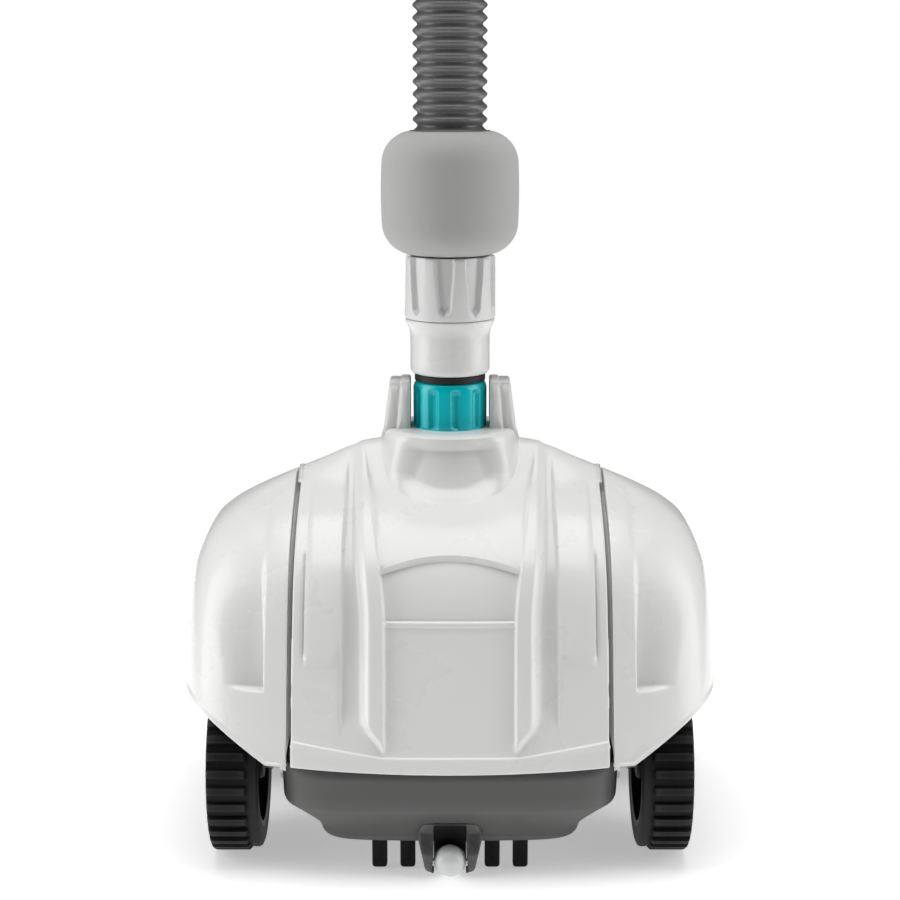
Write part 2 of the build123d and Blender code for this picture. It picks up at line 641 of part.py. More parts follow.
corners = (
    ("front_left", -1, -WHEEL_TRACK_Y),
    ("front_right", 1, -WHEEL_TRACK_Y),
    ("rear_left", -1, WHEEL_TRACK_Y),
    ("rear_right", 1, WHEEL_TRACK_Y),
)
for corner, side, wheel_y in corners:
    front = wheel_y < 0
    bore = AXLE_RADIUS + (RUNNING_CLEARANCE if front else 0)
    faces = sorted((side * WHEEL_INNER_X, side * WHEEL_OUTER_X))
    if front:
        with BuildPart() as stub_axle:
            stub = sorted((side * seat_span[0], side * axle_end))
            add(rod(AXLE_RADIUS, *stub, wheel_y, AXLE_Z))
            for radius, (near, far) in seat_and_collar:
                ends = sorted((side * near, side * far))
                add(rod(radius, *ends, wheel_y, AXLE_Z))
        keep(stub_axle.part, f"{corner}_stub_axle")

    with BuildPart() as tyre:
        add(rod(TYRE_ROOT_RADIUS, faces[0], faces[1], wheel_y, AXLE_Z))
        lugs = sorted((side * LUG_INNER_X, side * WHEEL_OUTER_X))
        with BuildSketch(Plane.YZ.offset(lugs[0])):
            with Locations((wheel_y, AXLE_Z)):
                with PolarLocations(WHEEL_RADIUS - LUG_HEIGHT / 2, LUG_COUNT, start_angle=-90):
                    Rectangle(LUG_HEIGHT, LUG_WIDTH)
        extrude(amount=lugs[1] - lugs[0])
        add(rod(RIM_RADIUS, faces[0] - 1, faces[1] + 1, wheel_y, AXLE_Z), mode=Mode.SUBTRACT)
    keep(tyre.part, f"{corner}_tyre")

    with BuildPart() as hub:
        add(rod(RIM_RADIUS - RIM_CLEARANCE, faces[0], faces[1], wheel_y, AXLE_Z))
        # Dished outer face and hollow back, with a boss round the axle.
        dish = sorted((side * (WHEEL_OUTER_X - HUB_DISH), side * BODY_REACH))
        hollow = sorted((0, side * (WHEEL_OUTER_X - HUB_DISH - HUB_WEB)))
        for ends in (dish, hollow):
            hollow_radius = RIM_RADIUS - HUB_RIM_WALL
            add(rod(hollow_radius, *ends, wheel_y, AXLE_Z, HUB_BOSS_RADIUS), mode=Mode.SUBTRACT)
        add(rod(bore, -BODY_REACH, BODY_REACH, wheel_y, AXLE_Z), mode=Mode.SUBTRACT)
        pocket = sorted((side * (WHEEL_OUTER_X - HUB_POCKET_DEPTH), side * BODY_REACH))
        add(rod(HUB_POCKET_RADIUS, *pocket, wheel_y, AXLE_Z), mode=Mode.SUBTRACT)
    keep(hub.part, f"{corner}_hub")

    with BuildPart() as cap:
        rim = sorted((side * WHEEL_OUTER_X, side * (WHEEL_OUTER_X + CAP_THICKNESS)))
        spigot = sorted((side * (WHEEL_OUTER_X - CAP_THICKNESS), side * WHEEL_OUTER_X))
        add(rod(CAP_RADIUS, *rim, wheel_y, AXLE_Z))
        add(rod(CAP_SPIGOT_RADIUS, *spigot, wheel_y, AXLE_Z, CAP_BORE))
        relief = sorted((side * WHEEL_OUTER_X, side * (WHEEL_OUTER_X + CAP_RELIEF)))
        add(rod(CAP_BORE, *relief, wheel_y, AXLE_Z), mode=Mode.SUBTRACT)
    keep(cap.part, f"{corner}_cap")

for name, wheel_y in (("front_axle_clips", -WHEEL_TRACK_Y), ("rear_axle_clips", WHEEL_TRACK_Y)):
    with BuildPart() as clips:
        for side in (-1, 1):
            ends = sorted(side * (WHEEL_OUTER_X - inset) for inset in CLIP_INSET)
            add(rod(CLIP_RADIUS, *ends, wheel_y, AXLE_Z, AXLE_RADIUS))
    keep(clips.part, name)

# ---------------------------------------------------------------- duct, lock ring and swivel
with BuildPart() as suction_duct:
    add(ring(DUCT_RADIUS, DUCT_BORE, SOCKET_TOP - SOCKET_DEPTH, RING_BOTTOM - 1))
    add(ring(DUCT_NECK_RADIUS, DUCT_BORE, RING_BOTTOM - 1, DUCT_TOP))
keep(suction_duct.part, "suction_duct")

with BuildPart() as duct_seal:
    add(ring(DUCT_BORE, SPIGOT_RADIUS + RUNNING_CLEARANCE, *SEAL_Z))
keep(duct_seal.part, "duct_seal")

with BuildPart() as lock_ring:
    with BuildSketch(Plane.XY.offset(RING_BOTTOM)):
        Circle(RING_RADIUS)
        # Finger grooves round the outside.
        with PolarLocations(RING_RADIUS + GRIP_OFFSET, GRIP_COUNT):
            Circle(GRIP_RADIUS, mode=Mode.SUBTRACT)
        Circle(DUCT_NECK_RADIUS + SLIDING_CLEARANCE, mode=Mode.SUBTRACT)
    extrude(amount=RING_TOP - RING_BOTTOM)
    lip_bore = SPIGOT_RADIUS + SLIDING_CLEARANCE
    add(ring(DUCT_NECK_RADIUS + 1, lip_bore, RING_TOP - LOCK_RING_LIP, RING_TOP))
keep(lock_ring.part, "lock_ring")

with BuildPart() as swivel_washer:
    add(ring(WASHER_RADIUS, lip_bore, RING_TOP + WASHER_GAP, NECK_BOTTOM - WASHER_GAP))
keep(swivel_washer.part, "swivel_washer")

# The spigot hangs in the duct by its flange, which the lock ring's lip holds down.
with BuildPart() as swivel_spigot:
    add(ring(SPIGOT_RADIUS, SPIGOT_BORE, SPIGOT_BOTTOM, SPIGOT_TOP))
    add(ring(SPIGOT_FLANGE_RADIUS, SPIGOT_BORE, *SPIGOT_FLANGE))
keep(swivel_spigot.part, "swivel_spigot")

with BuildPart() as swivel_neck:
    with BuildSketch(Plane.XZ):
        with BuildLine():
            Polyline(
                (SPIGOT_RADIUS + RUNNING_CLEARANCE, NECK_BOTTOM),
                (NECK_RADIUS - 2, NECK_BOTTOM),
                (NECK_RADIUS, NECK_BOTTOM + 3),
                (NECK_RADIUS, NECK_TOP),
                (CUFF_RADIUS, CUFF_BOTTOM),
                (HOSE_BORE + 1, CUFF_BOTTOM),
                (HOSE_BORE + 1, HOSE_BOTTOM - 2),
                (HOSE_BORE - 2, HOSE_BOTTOM - 2),
                (HOSE_BORE - 2, CUFF_BOTTOM - 8),
                (SPIGOT_BORE, CUFF_BOTTOM - 12),
                (SPIGOT_BORE, SPIGOT_TOP),
                (SPIGOT_RADIUS + RUNNING_CLEARANCE, SPIGOT_TOP),
                close=True,
            )
        make_face()
    revolve(axis=Axis.Z)
keep(swivel_neck.part, "swivel_neck")

with BuildPart() as fluted_cuff:
    with BuildSketch(Plane.XY.offset(CUFF_BOTTOM)):
        Circle(CUFF_RADIUS)
        with PolarLocations(CUFF_RADIUS + FLUTE_OFFSET, FLUTE_COUNT, start_angle=FLUTE_START):
            Circle(FLUTE_RADIUS, mode=Mode.SUBTRACT)
        Circle(HOSE_BORE + 1, mode=Mode.SUBTRACT)
    extrude(amount=CUFF_TOP - CUFF_BOTTOM)
    add(ring(HOSE_RADIUS, 0, HOSE_BOTTOM, CUFF_TOP + 1), mode=Mode.SUBTRACT)
keep(fluted_cuff.part, "fluted_cuff")

with BuildPart() as hose:
    add(ring(HOSE_RADIUS, HOSE_BORE, HOSE_BOTTOM, HOSE_TOP))
keep(hose.part, "hose")

with BuildPart() as hose_end_cuff:
    with BuildSketch(Plane.XZ):
        with BuildLine():
            Polyline(
                (HOSE_RADIUS, END_CUFF_BOTTOM),
                (END_CUFF_RADIUS, END_CUFF_BOTTOM + 3),
                (END_CUFF_RADIUS, END_CUFF_TOP - END_RIM_HEIGHTS[0]),
                (END_CUFF_RADIUS + END_RIM, END_CUFF_TOP - END_RIM_HEIGHTS[1]),
                (END_CUFF_RADIUS + END_RIM, END_CUFF_TOP),
                (SOCKET_BORE, END_CUFF_TOP),
                (SOCKET_BORE, HOSE_TOP + 2),
                (HOSE_BORE, HOSE_TOP + 2),
                (HOSE_BORE, HOSE_TOP),
                (HOSE_RADIUS, HOSE_TOP),
                close=True,
            )
        make_face()
    revolve(axis=Axis.Z)
keep(hose_end_cuff.part, "hose_end_cuff")

with BuildPart() as hose_float:
    add(ring(FLOAT_RADIUS, FLOAT_BORE, FLOAT_BOTTOM, FLOAT_TOP))
    outer_rims = hose_float.edges().filter_by(GeomType.CIRCLE).sort_by(SortBy.RADIUS)[-2:]
    fillet(outer_rims, FLOAT_ROUND)
keep(hose_float.part, "hose_float")

# ---------------------------------------------------------------- screws
screw_bottom = BASE_BOTTOM - SCREW_HEAD_HEIGHT
screw = ring(SCREW_HEAD_RADIUS, 0, screw_bottom, BASE_BOTTOM) + ring(
    SCREW_RADIUS, 0, screw_bottom, BASE_BOTTOM + SCREW_LENGTH
)
with BuildPart() as shell_screws:
    for side_x in (-1, 1):
        for side_y in (-1, 1):
            add(Pos(side_x * POST_X, side_y * POST_Y, 0) * screw)
keep(shell_screws.part, "shell_screws")

print(len(written), "pieces written")
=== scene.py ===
"""Looks of the pool cleaner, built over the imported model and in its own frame."""

import json
import math

import bpy
import numpy as np
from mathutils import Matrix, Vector


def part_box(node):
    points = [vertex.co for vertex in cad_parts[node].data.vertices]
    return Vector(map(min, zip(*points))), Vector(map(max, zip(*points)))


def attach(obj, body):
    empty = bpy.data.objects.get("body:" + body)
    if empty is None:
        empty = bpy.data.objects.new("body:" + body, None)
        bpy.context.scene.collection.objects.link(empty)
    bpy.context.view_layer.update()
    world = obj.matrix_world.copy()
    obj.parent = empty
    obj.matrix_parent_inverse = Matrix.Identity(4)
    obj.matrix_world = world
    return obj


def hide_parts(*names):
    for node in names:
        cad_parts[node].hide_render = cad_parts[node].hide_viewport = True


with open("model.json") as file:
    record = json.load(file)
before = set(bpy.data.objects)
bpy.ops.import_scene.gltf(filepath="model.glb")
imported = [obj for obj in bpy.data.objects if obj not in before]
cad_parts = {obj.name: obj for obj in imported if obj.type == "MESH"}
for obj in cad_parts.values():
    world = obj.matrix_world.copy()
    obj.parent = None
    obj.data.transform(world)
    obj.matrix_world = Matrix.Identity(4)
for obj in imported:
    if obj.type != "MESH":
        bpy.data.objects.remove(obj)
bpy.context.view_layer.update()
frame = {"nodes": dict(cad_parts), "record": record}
# The points of the pieces are in millimetres; the camera, lamps, floor and hose route are in metres.
MM = 0.001


def corners_mm(node):
    """Lowest and highest corner of a node's box, in millimetres to the nearest tenth."""
    return [[round(value / MM, 1) for value in corner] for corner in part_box(node)]


def middle_mm(node):
    """Middle of a node's box, in millimetres to the nearest tenth."""
    return [round((low + high) / 2 / MM, 1) for low, high in zip(*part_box(node))]


# ---------------------------------------------------------------- camera
CAMERA_PLACE = (0, -1.178, 0.452)
CAMERA_AIM = (0, 0, 0.223)
LENS_MM = 80
SENSOR_MM = 36


def aim_at(thing, place, target):
    """Puts a camera or a lamp at a place and points it at the target."""
    thing.location = place
    thing.rotation_euler = (Vector(target) - Vector(place)).to_track_quat("-Z", "Y").to_euler()


camera_data = bpy.data.cameras.new("camera")
camera_data.lens = LENS_MM
camera_data.sensor_width = SENSOR_MM
camera = bpy.data.objects.new("camera", camera_data)
bpy.context.scene.collection.objects.link(camera)
aim_at(camera, CAMERA_PLACE, CAMERA_AIM)
bpy.context.scene.camera = camera

# ---------------------------------------------------------------- materials
COAT_ROUGHNESS = 0.12
MOTTLE_SCALE = 26
MOTTLE_DETAIL = 6
GRAIN_DETAIL = 3
GRAIN_STRENGTH = 0.6
WEAR_START = 0.51
WEAR_END = 0.6
WEAR_GAIN = 1.5
WEAR_LIFT = 0.06
SMOOTHEST = 0.85
ROUGHEST = 1.15


def surface(name, colour, roughness, grain, relief, mottle, edge=0.0, coat=0.0, metal=0.0, specular=0.5):
    """Procedural finish: fine bump, uneven roughness, faint colour variation and worn edges."""
    material = bpy.data.materials.new(name)
    material.use_nodes = True
    nodes = material.node_tree.nodes
    link = material.node_tree.links.new
    shader = nodes["Principled BSDF"]
    shader.inputs["Metallic"].default_value = metal
    shader.inputs["Specular IOR Level"].default_value = specular
    shader.inputs["Coat Weight"].default_value = coat
    shader.inputs["Coat Roughness"].default_value = COAT_ROUGHNESS
    place = nodes.new("ShaderNodeTexCoord")
    broad = nodes.new("ShaderNodeTexNoise")
    broad.inputs["Scale"].default_value = MOTTLE_SCALE
    broad.inputs["Detail"].default_value = MOTTLE_DETAIL
    fine = nodes.new("ShaderNodeTexNoise")
    fine.inputs["Scale"].default_value = grain
    fine.inputs["Detail"].default_value = GRAIN_DETAIL
    link(place.outputs["Object"], broad.inputs["Vector"])
    link(place.outputs["Object"], fine.inputs["Vector"])
    tint = nodes.new("ShaderNodeMix")
    tint.data_type = "RGBA"
    tint.inputs["A"].default_value = [*(c * (1 - mottle) for c in colour), 1]
    tint.inputs["B"].default_value = [*(min(1, c * (1 + mottle)) for c in colour), 1]
    link(broad.outputs["Fac"], tint.inputs["Factor"])
    shape = nodes.new("ShaderNodeNewGeometry")
    worn = nodes.new("ShaderNodeMapRange")
    worn.inputs["From Min"].default_value = WEAR_START
    worn.inputs["From Max"].default_value = WEAR_END
    worn.inputs["To Max"].default_value = edge
    link(shape.outputs["Pointiness"], worn.inputs["Value"])
    edges = nodes.new("ShaderNodeMix")
    edges.data_type = "RGBA"
    edges.inputs["B"].default_value = [*(min(1, c * WEAR_GAIN + WEAR_LIFT) for c in colour), 1]
    link(worn.outputs["Result"], edges.inputs["Factor"])
    link(tint.outputs["Result"], edges.inputs["A"])
    link(edges.outputs["Result"], shader.inputs["Base Color"])
    rough = nodes.new("ShaderNodeMapRange")
    rough.inputs["To Min"].default_value = roughness * SMOOTHEST
    rough.inputs["To Max"].default_value = min(1, roughness * ROUGHEST)
    link(broad.outputs["Fac"], rough.inputs["Value"])
    link(rough.outputs["Result"], shader.inputs["Roughness"])
    bump = nodes.new("ShaderNodeBump")
    bump.inputs["Distance"].default_value = relief
    bump.inputs["Strength"].default_value = GRAIN_STRENGTH
    link(fine.outputs["Fac"], bump.inputs["Height"])
    link(bump.outputs["Normal"], shader.inputs["Normal"])
    return material


# Colour, roughness, grain, relief in metres, mottle, edge wear, coat, metal and specular of each slot.
FINISH_VALUES = {
    "white_gloss": ((0.8, 0.8, 0.79), 0.28, 1200, 0.00002, 0.004, 0.0, 0.2, 0.0, 0.5),
    "white_satin": ((0.76, 0.76, 0.755), 0.42, 1500, 0.00004, 0.006, 0.0, 0.0, 0.0, 0.5),
    "teal_gloss": ((0.0, 0.52, 0.57), 0.2, 900, 0.00002, 0.05, 0.1, 0.4, 0.0, 0.3),
    "dark_grey": ((0.085, 0.085, 0.083), 0.5, 1800, 0.0001, 0.08, 0.5, 0.0, 0.0, 0.5),
    "black_plastic": ((0.006, 0.006, 0.006), 0.5, 1600, 0.00008, 0.2, 0.2, 0.0, 0.0, 0.3),
    "black_rubber": ((0.006, 0.006, 0.006), 0.7, 1100, 0.00012, 0.25, 0.25, 0.0, 0.0, 0.25),
    "tyre": ((0.004, 0.004, 0.004), 0.6, 1300, 0.00015, 0.3, 0.5, 0.0, 0.0, 0.25),
    "hose_grey": ((0.13, 0.13, 0.128), 0.3, 700, 0.00006, 0.08, 0.5, 0.1, 0.0, 0.5),
    "float_grey": ((0.44, 0.44, 0.435), 0.85, 1500, 0.0003, 0.05, 0.2, 0.0, 0.0, 0.5),
    "ball_white": ((0.75, 0.76, 0.76), 0.22, 500, 0.00003, 0.03, 0.0, 0.3, 0.0, 0.5),
    "natural_nylon": ((0.7, 0.68, 0.6), 0.45, 900, 0.00005, 0.05, 0.3, 0.0, 0.0, 0.5),
    "stainless": ((0.6, 0.6, 0.6), 0.3, 1500, 0.00004, 0.08, 0.2, 0.0, 1.0, 0.5),
    "ballast_paint": ((0.03, 0.03, 0.033), 0.6, 500, 0.0003, 0.3, 0.4, 0.0, 0.0, 0.5),
}
FINISHES = {name: surface(name, *values) for name, values in FINISH_VALUES.items()}
slot_of = {piece["node"]: piece["material_slot"] for piece in frame["record"]["subparts"]}
for node, thing in frame["nodes"].items():
    thing.data.materials.clear()
    thing.data.materials.append(FINISHES[slot_of[node]])


# ---------------------------------------------------------------- mesh helpers
def build(name, points, faces, node, body, sharp=40, slot=None):
    """A piece that stands for a node and rides on its body, in the node's finish unless a slot is given."""
    mesh = bpy.data.meshes.new(name)
    mesh.from_pydata([tuple(float(c) * MM for c in p) for p in points], [], faces)
    mesh.validate()
    mesh.polygons.foreach_set("use_smooth", [True] * len(mesh.polygons))
    mesh.set_sharp_from_angle(angle=math.radians(sharp))
    piece = bpy.data.objects.new(name, mesh)
    bpy.context.scene.collection.objects.link(piece)
    slot = slot or slot_of[node]
    mesh.materials.append(FINISHES[slot])
    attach(piece, body)
    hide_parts(node)
    return piece


def sheet_faces(rows, columns, start=0, around=False, flip=False):
    """Quads of a grid of rows by columns, closed round the columns if asked."""
    faces = []
    last = columns if around else columns - 1
    for row in range(rows - 1):
        for column in range(last):
            right = (column + 1) % columns
            quad = (
                start + row * columns + column,
                start + row * columns + right,
                start + (row + 1) * columns + right,
                start + (row + 1) * columns + column,
            )
            faces.append(quad[::-1] if flip else quad)
    return faces


class Shape:
    """Collects several surfaces for one piece."""

    def __init__(self):
        self.points = []
        self.faces = []

    def grid(self, points, around=False, flip=False):
        """Adds a grid of points, given row by row."""
        rows, columns = len(points), len(points[0])
        self.faces += sheet_faces(rows, columns, len(self.points), around, flip)
        self.points += [p for row in points for p in row]

    def fan(self, ring, centre, flip=False):
        """Closes a ring of points with triangles to its centre."""
        start = len(self.points)
        self.points += list(ring) + [centre]
        count = len(ring)
        for step in range(count):
            face = (start + step, start + (step + 1) % count, start + count)
            self.faces.append(face[::-1] if flip else face)

    def join(self, other, flip=False):
        """Adds another shape's surfaces."""
        start = len(self.points)
        self.points += other.points
        for face in other.faces:
            moved = tuple(v + start for v in face)
            self.faces.append(moved[::-1] if flip else moved)

    def lathe(self, profile, segments, radius=None, axis="z", centre=(0, 0, 0)):
        """Turns (radius, along) points about an axis; radius(r, along, turn) can carve them."""
        rows = []
        for r, along in profile:
            row = []
            for step in range(segments):
                turn = 2 * math.pi * step / segments
                reach = radius(r, along, turn) if radius else r
                across, up = reach * math.cos(turn), reach * math.sin(turn)
                if axis == "z":
                    row.append((centre[0] + across, centre[1] + up, centre[2] + along))
                else:
                    row.append((centre[0] + along, centre[1] + across, centre[2] + up))
            rows.append(row)
        self.grid(rows, around=True)

    def make(self, name, node, body, sharp=40, slot=None):
        """Builds the collected surfaces as one piece."""
        return build(name, self.points, self.faces, node, body, sharp, slot)


def thicken(piece, thickness):
    """Gives a surface a wall on its inner side."""
    solid = piece.modifiers.new("wall", "SOLIDIFY")
    solid.thickness = thickness * MM
    solid.offset = -1


def ease(value, start, end):
    """0 before start, 1 after end and smooth between them."""
    share = np.clip((value - start) / (end - start), 0, 1)
    return share * share * (3 - 2 * share)


CORNER_STEPS = 4
OPEN_DIVISOR = 2.05
CLOSED_DIVISOR = 2.1


def cut_corner(before, corner, after, radius, divisor):
    """Curve that rounds one corner and keeps within each side's length over the divisor."""
    corner = np.array(corner, float)
    to_before, to_after = np.subtract(before, corner), np.subtract(after, corner)
    size_before, size_after = np.hypot(*to_before), np.hypot(*to_after)
    reach = min(radius, size_before / divisor, size_after / divisor)
    start = corner + to_before / size_before * reach
    end = corner + to_after / size_after * reach
    shares = [step / CORNER_STEPS for step in range(CORNER_STEPS + 1)]
    return [tuple((1 - t) ** 2 * start + 2 * t * (1 - t) * corner + t * t * end) for t in shares]


def rounded(profile, radius):
    """Open profile with its inner corners rounded."""
    result = [profile[0]]
    for before, corner, after in zip(profile, profile[1:], profile[2:]):
        result += cut_corner(before, corner, after, radius, OPEN_DIVISOR)
    return result + [profile[-1]]


def bevelled(outline, radius):
    """Closed outline with rounded corners."""
    result = []
    for n, corner in enumerate(outline):
        after = outline[(n + 1) % len(outline)]
        result += cut_corner(outline[n - 1], corner, after, radius, CLOSED_DIVISOR)
    return result


def dense(profile, step, whole=math.ceil):
    """Profile with points about a step apart."""
    result = []
    for (r0, z0), (r1, z1) in zip(profile, profile[1:]):
        count = max(1, whole(math.hypot(r1 - r0, z1 - z0) / step))
        result += [(r0 + (r1 - r0) * s / count, z0 + (z1 - z0) * s / count) for s in range(count)]
    return result + [profile[-1]]


def spread(points, count):
    """Points at equal steps along a line of points."""
    points = np.array(points)
    length = np.concatenate([[0], np.cumsum(np.linalg.norm(np.diff(points, axis=0), axis=1))])
    wanted = np.linspace(0, length[-1], count)
    return np.stack([np.interp(wanted, length, values) for values in points.T], axis=1)


def split(knots, counts):
    """Knots with each gap divided into that many steps."""
    values = [knots[0]]
    for start, end, count in zip(knots, knots[1:], counts):
        values += [start + (end - start) * (step + 1) / count for step in range(count)]
    return values


# ---------------------------------------------------------------- hose, first of all
HOSE_BOTTOM = corners_mm("hose")[0][2]
HOSE_TOP = corners_mm("hose")[1][2]
HOSE_POINTS = ((0, 0, 0.318), (0, 0, 0.386), (0, 0, 0.455), (0, 0, 0.524), (0, 0, 0.592))
HOSE_PITCH = 7.2
HOSE_RIB = 21.75
HOSE_ROOT = 18.9
HOSE_INSIDE = 17.6
RIB_STEPS = 10
RIB_POWER = 1.8
HOSE_SIDES = 96
centreline = bpy.data.curves.new("hose_line", "CURVE")
centreline.dimensions = "3D"
route = centreline.splines.new("NURBS")
route.points.add(len(HOSE_POINTS) - 1)
for knot, place in zip(route.points, HOSE_POINTS):
    knot.co = (*place, 1)
route.order_u = 3
route.use_endpoint_u = True
line_object = bpy.data.objects.new("hose_line", centreline)
line_mesh = bpy.data.meshes.new_from_object(line_object)
bpy.data.objects.remove(line_object)

hose_shape = Shape()
hose_profile = [(HOSE_INSIDE, HOSE_BOTTOM)]
ribs = int((HOSE_TOP - HOSE_BOTTOM) / HOSE_PITCH)
for step in range(ribs * RIB_STEPS + 1):
    swell = abs(math.cos(math.pi * step / RIB_STEPS)) ** RIB_POWER
    radius = HOSE_ROOT + (HOSE_RIB - HOSE_ROOT) * swell
    z = HOSE_BOTTOM + (HOSE_TOP - HOSE_BOTTOM) * step / (ribs * RIB_STEPS)
    hose_profile.append((radius, z))
hose_profile += [(HOSE_INSIDE, HOSE_TOP), (HOSE_INSIDE, HOSE_BOTTOM)]
hose_shape.lathe(hose_profile, HOSE_SIDES)
hose = hose_shape.make("hose_tube", "hose", "hose_swivel", 70)

# ---------------------------------------------------------------- body surface
LEVEL_Z = (60, 64, 100, 125, 145, 160, 172, 182, 192, 201, 210, 219, 228, 234)
HALF_WIDTH = (153, 153, 153.5, 153.3, 152.3, 150.5, 146.5, 141, 130, 115, 96, 75, 52, 2)
HALF_LENGTH = (131.5, 131, 120, 111.5, 104.3, 97.6, 89.6, 79.8, 66.5, 49.5, 33, 21.5, 12, 2)
SQUARENESS = (6, 6, 6, 5.4, 4.8, 4.2, 3.7, 3.3, 2.9, 2.6, 2.4, 2.2, 2, 2)
END_BOW = 0.11
SHELL_BOTTOM = 68
SEAM_INNER = corners_mm("top_shell")[1][0]
SEAM_OUTER = 91


def through(heights, values):
    """Smooth curve through levels that doesn't overshoot between them."""
    x, y = np.array(heights, float), np.array(values, float)
    gap, rise = np.diff(x), np.diff(y) / np.diff(x)
    slope = np.zeros_like(y)
    same = rise[1:] * rise[:-1] > 0
    slope[1:-1][same] = 2 * rise[1:][same] * rise[:-1][same] / (rise[1:][same] + rise[:-1][same])
    slope[0], slope[-1] = rise[0], rise[-1]

    def value(z):
        z = np.clip(z, x[0], x[-1])
        n = np.clip(np.searchsorted(x, z) - 1, 0, len(gap) - 1)
        t = (z - x[n]) / gap[n]
        return (
            (1 + 2 * t) * (1 - t) ** 2 * y[n]
            + t * (1 - t) ** 2 * gap[n] * slope[n]
            + t * t * (3 - 2 * t) * y[n + 1]
            + t * t * (t - 1) * gap[n] * slope[n + 1]
        )

    return value


half_width = through(LEVEL_Z, HALF_WIDTH)
half_length = through(LEVEL_Z, HALF_LENGTH)
squareness = through(LEVEL_Z, SQUARENESS)


def body_y(x, z):
    """Distance of the body's front surface from the middle, at a place across and a height."""
    share = np.minimum(np.abs(x) / half_width(z), 1)
    power = squareness(z)
    return half_length(z) * (1 - share**power) ** (1 / power) * (1 - END_BOW * share**2)


top_heights = np.linspace(110, 234, 500)
top_widths = half_width(top_heights)


def top_z(x):
    """Height at which the body's surface crosses its middle plane."""
    return np.interp(-abs(x), -top_widths, top_heights)


def normals(points):
    """Unit normals of a grid of points."""
    along = np.gradient(points, axis=0)
    across = np.gradient(points, axis=1)
    normal = np.cross(across, along)
    size = np.linalg.norm(normal, axis=2, keepdims=True)
    return normal / np.maximum(size, 1e-9)


# ---------------------------------------------------------------- top shell's cover
ridge_inner = through((64, 142, 190, 225, 234), (36, 36.5, 42.7, 50, 51))
ridge_outer = through((64, 76, 92, 142, 190, 225, 234), (36.5, 38, 49, 49.2, 54, 57, 58))
LIP_Z = 143
LIP_LEVELS = (LIP_Z - 0.9, LIP_Z + 0.4, LIP_Z + 1.9, LIP_Z + 3.2)
LIP_HEIGHT = 0.9
STEP_HALF = 0.8
RIDGE_RISE = 2.5
PANEL_LIFT = 2.2
RECESS_DEPTH = 1.6
CHANNEL_ENDS = (59.6, 61.4)
CHANNEL_DEPTH = 2.4
SLIT_COLUMNS = (81.0, 81.6, 82.8, 83.4)
EDGE_COLUMNS = (87.3, 88.1)
TAB_X = 61
TAB_Z = 123
TAB_ROUND = 10
TAB_HEIGHT = 1.5
SLIT_DEPTH = 1.6
SKIRT_HEIGHT = 1.1
ARC_Z = 177
ARC_DROP = 6.5
ARC_HALF = 38
SKIRT_Z = 74.6
SKIRT_CLIMB = 7
SKIRT_FLAT = 38
SKIRT_RUN = 48
FOOT_Z = 65.6
FOOT_CLIMB = 2.4
COLUMN_COUNTS = (16, 4, 5, 5, 4, 4, 9, 1, 3, 1, 3, 3, 3)
ROW_COUNTS = (4, 3, 3, 22, 4, 3, 4, 9, 4)
UPPER_ROWS = 44
PEAK_SAMPLES = 50


def arc_z(x):
    """Height of the upper panel's curved lower edge."""
    return ARC_Z - ARC_DROP * np.minimum(1, (x / ARC_HALF) ** 2)


def skirt_z(x):
    """Height of the skirt's upper edge, which climbs towards the sides."""
    return SKIRT_Z + np.clip(x - SKIRT_FLAT, 0, SKIRT_RUN) / SKIRT_RUN * SKIRT_CLIMB


def bottom_z(x):
    """Height of the cover's lower edge."""
    return FOOT_Z + FOOT_CLIMB * (x / SEAM_INNER) ** 2


def cover_column(column, z):
    """Place across of a column at a height."""
    inner, outer = float(ridge_inner(z)), float(ridge_outer(z))
    ridge = (inner - 0.7, inner + 0.9, max(inner + 1.2, outer - 5), max(inner + 2, outer))
    knots = (0, *ridge, *CHANNEL_ENDS, *SLIT_COLUMNS, *EDGE_COLUMNS, SEAM_INNER)
    return split(knots, COLUMN_COUNTS)[column]


def cover_row(row, x):
    """Height of a row at a place across the cover."""
    low, skirt, arc = bottom_z(x), skirt_z(x), arc_z(x)
    lower = sum(ROW_COUNTS)
    if row <= lower:
        edges = (low, low + 1.2, skirt - STEP_HALF, skirt + STEP_HALF)
        return split((*edges, *LIP_LEVELS, arc - STEP_HALF, arc + STEP_HALF), ROW_COUNTS)[row]
    peak = top_z(x)
    share = np.linspace(0, 1, PEAK_SAMPLES)
    heights = peak - (peak - arc - STEP_HALF) * (1 - share) ** 2
    run = body_y(x, heights)
    length = np.concatenate([[0], np.cumsum(np.hypot(np.diff(run), np.diff(heights)))])
    return float(np.interp((row - lower) / UPPER_ROWS * length[-1], length, heights))


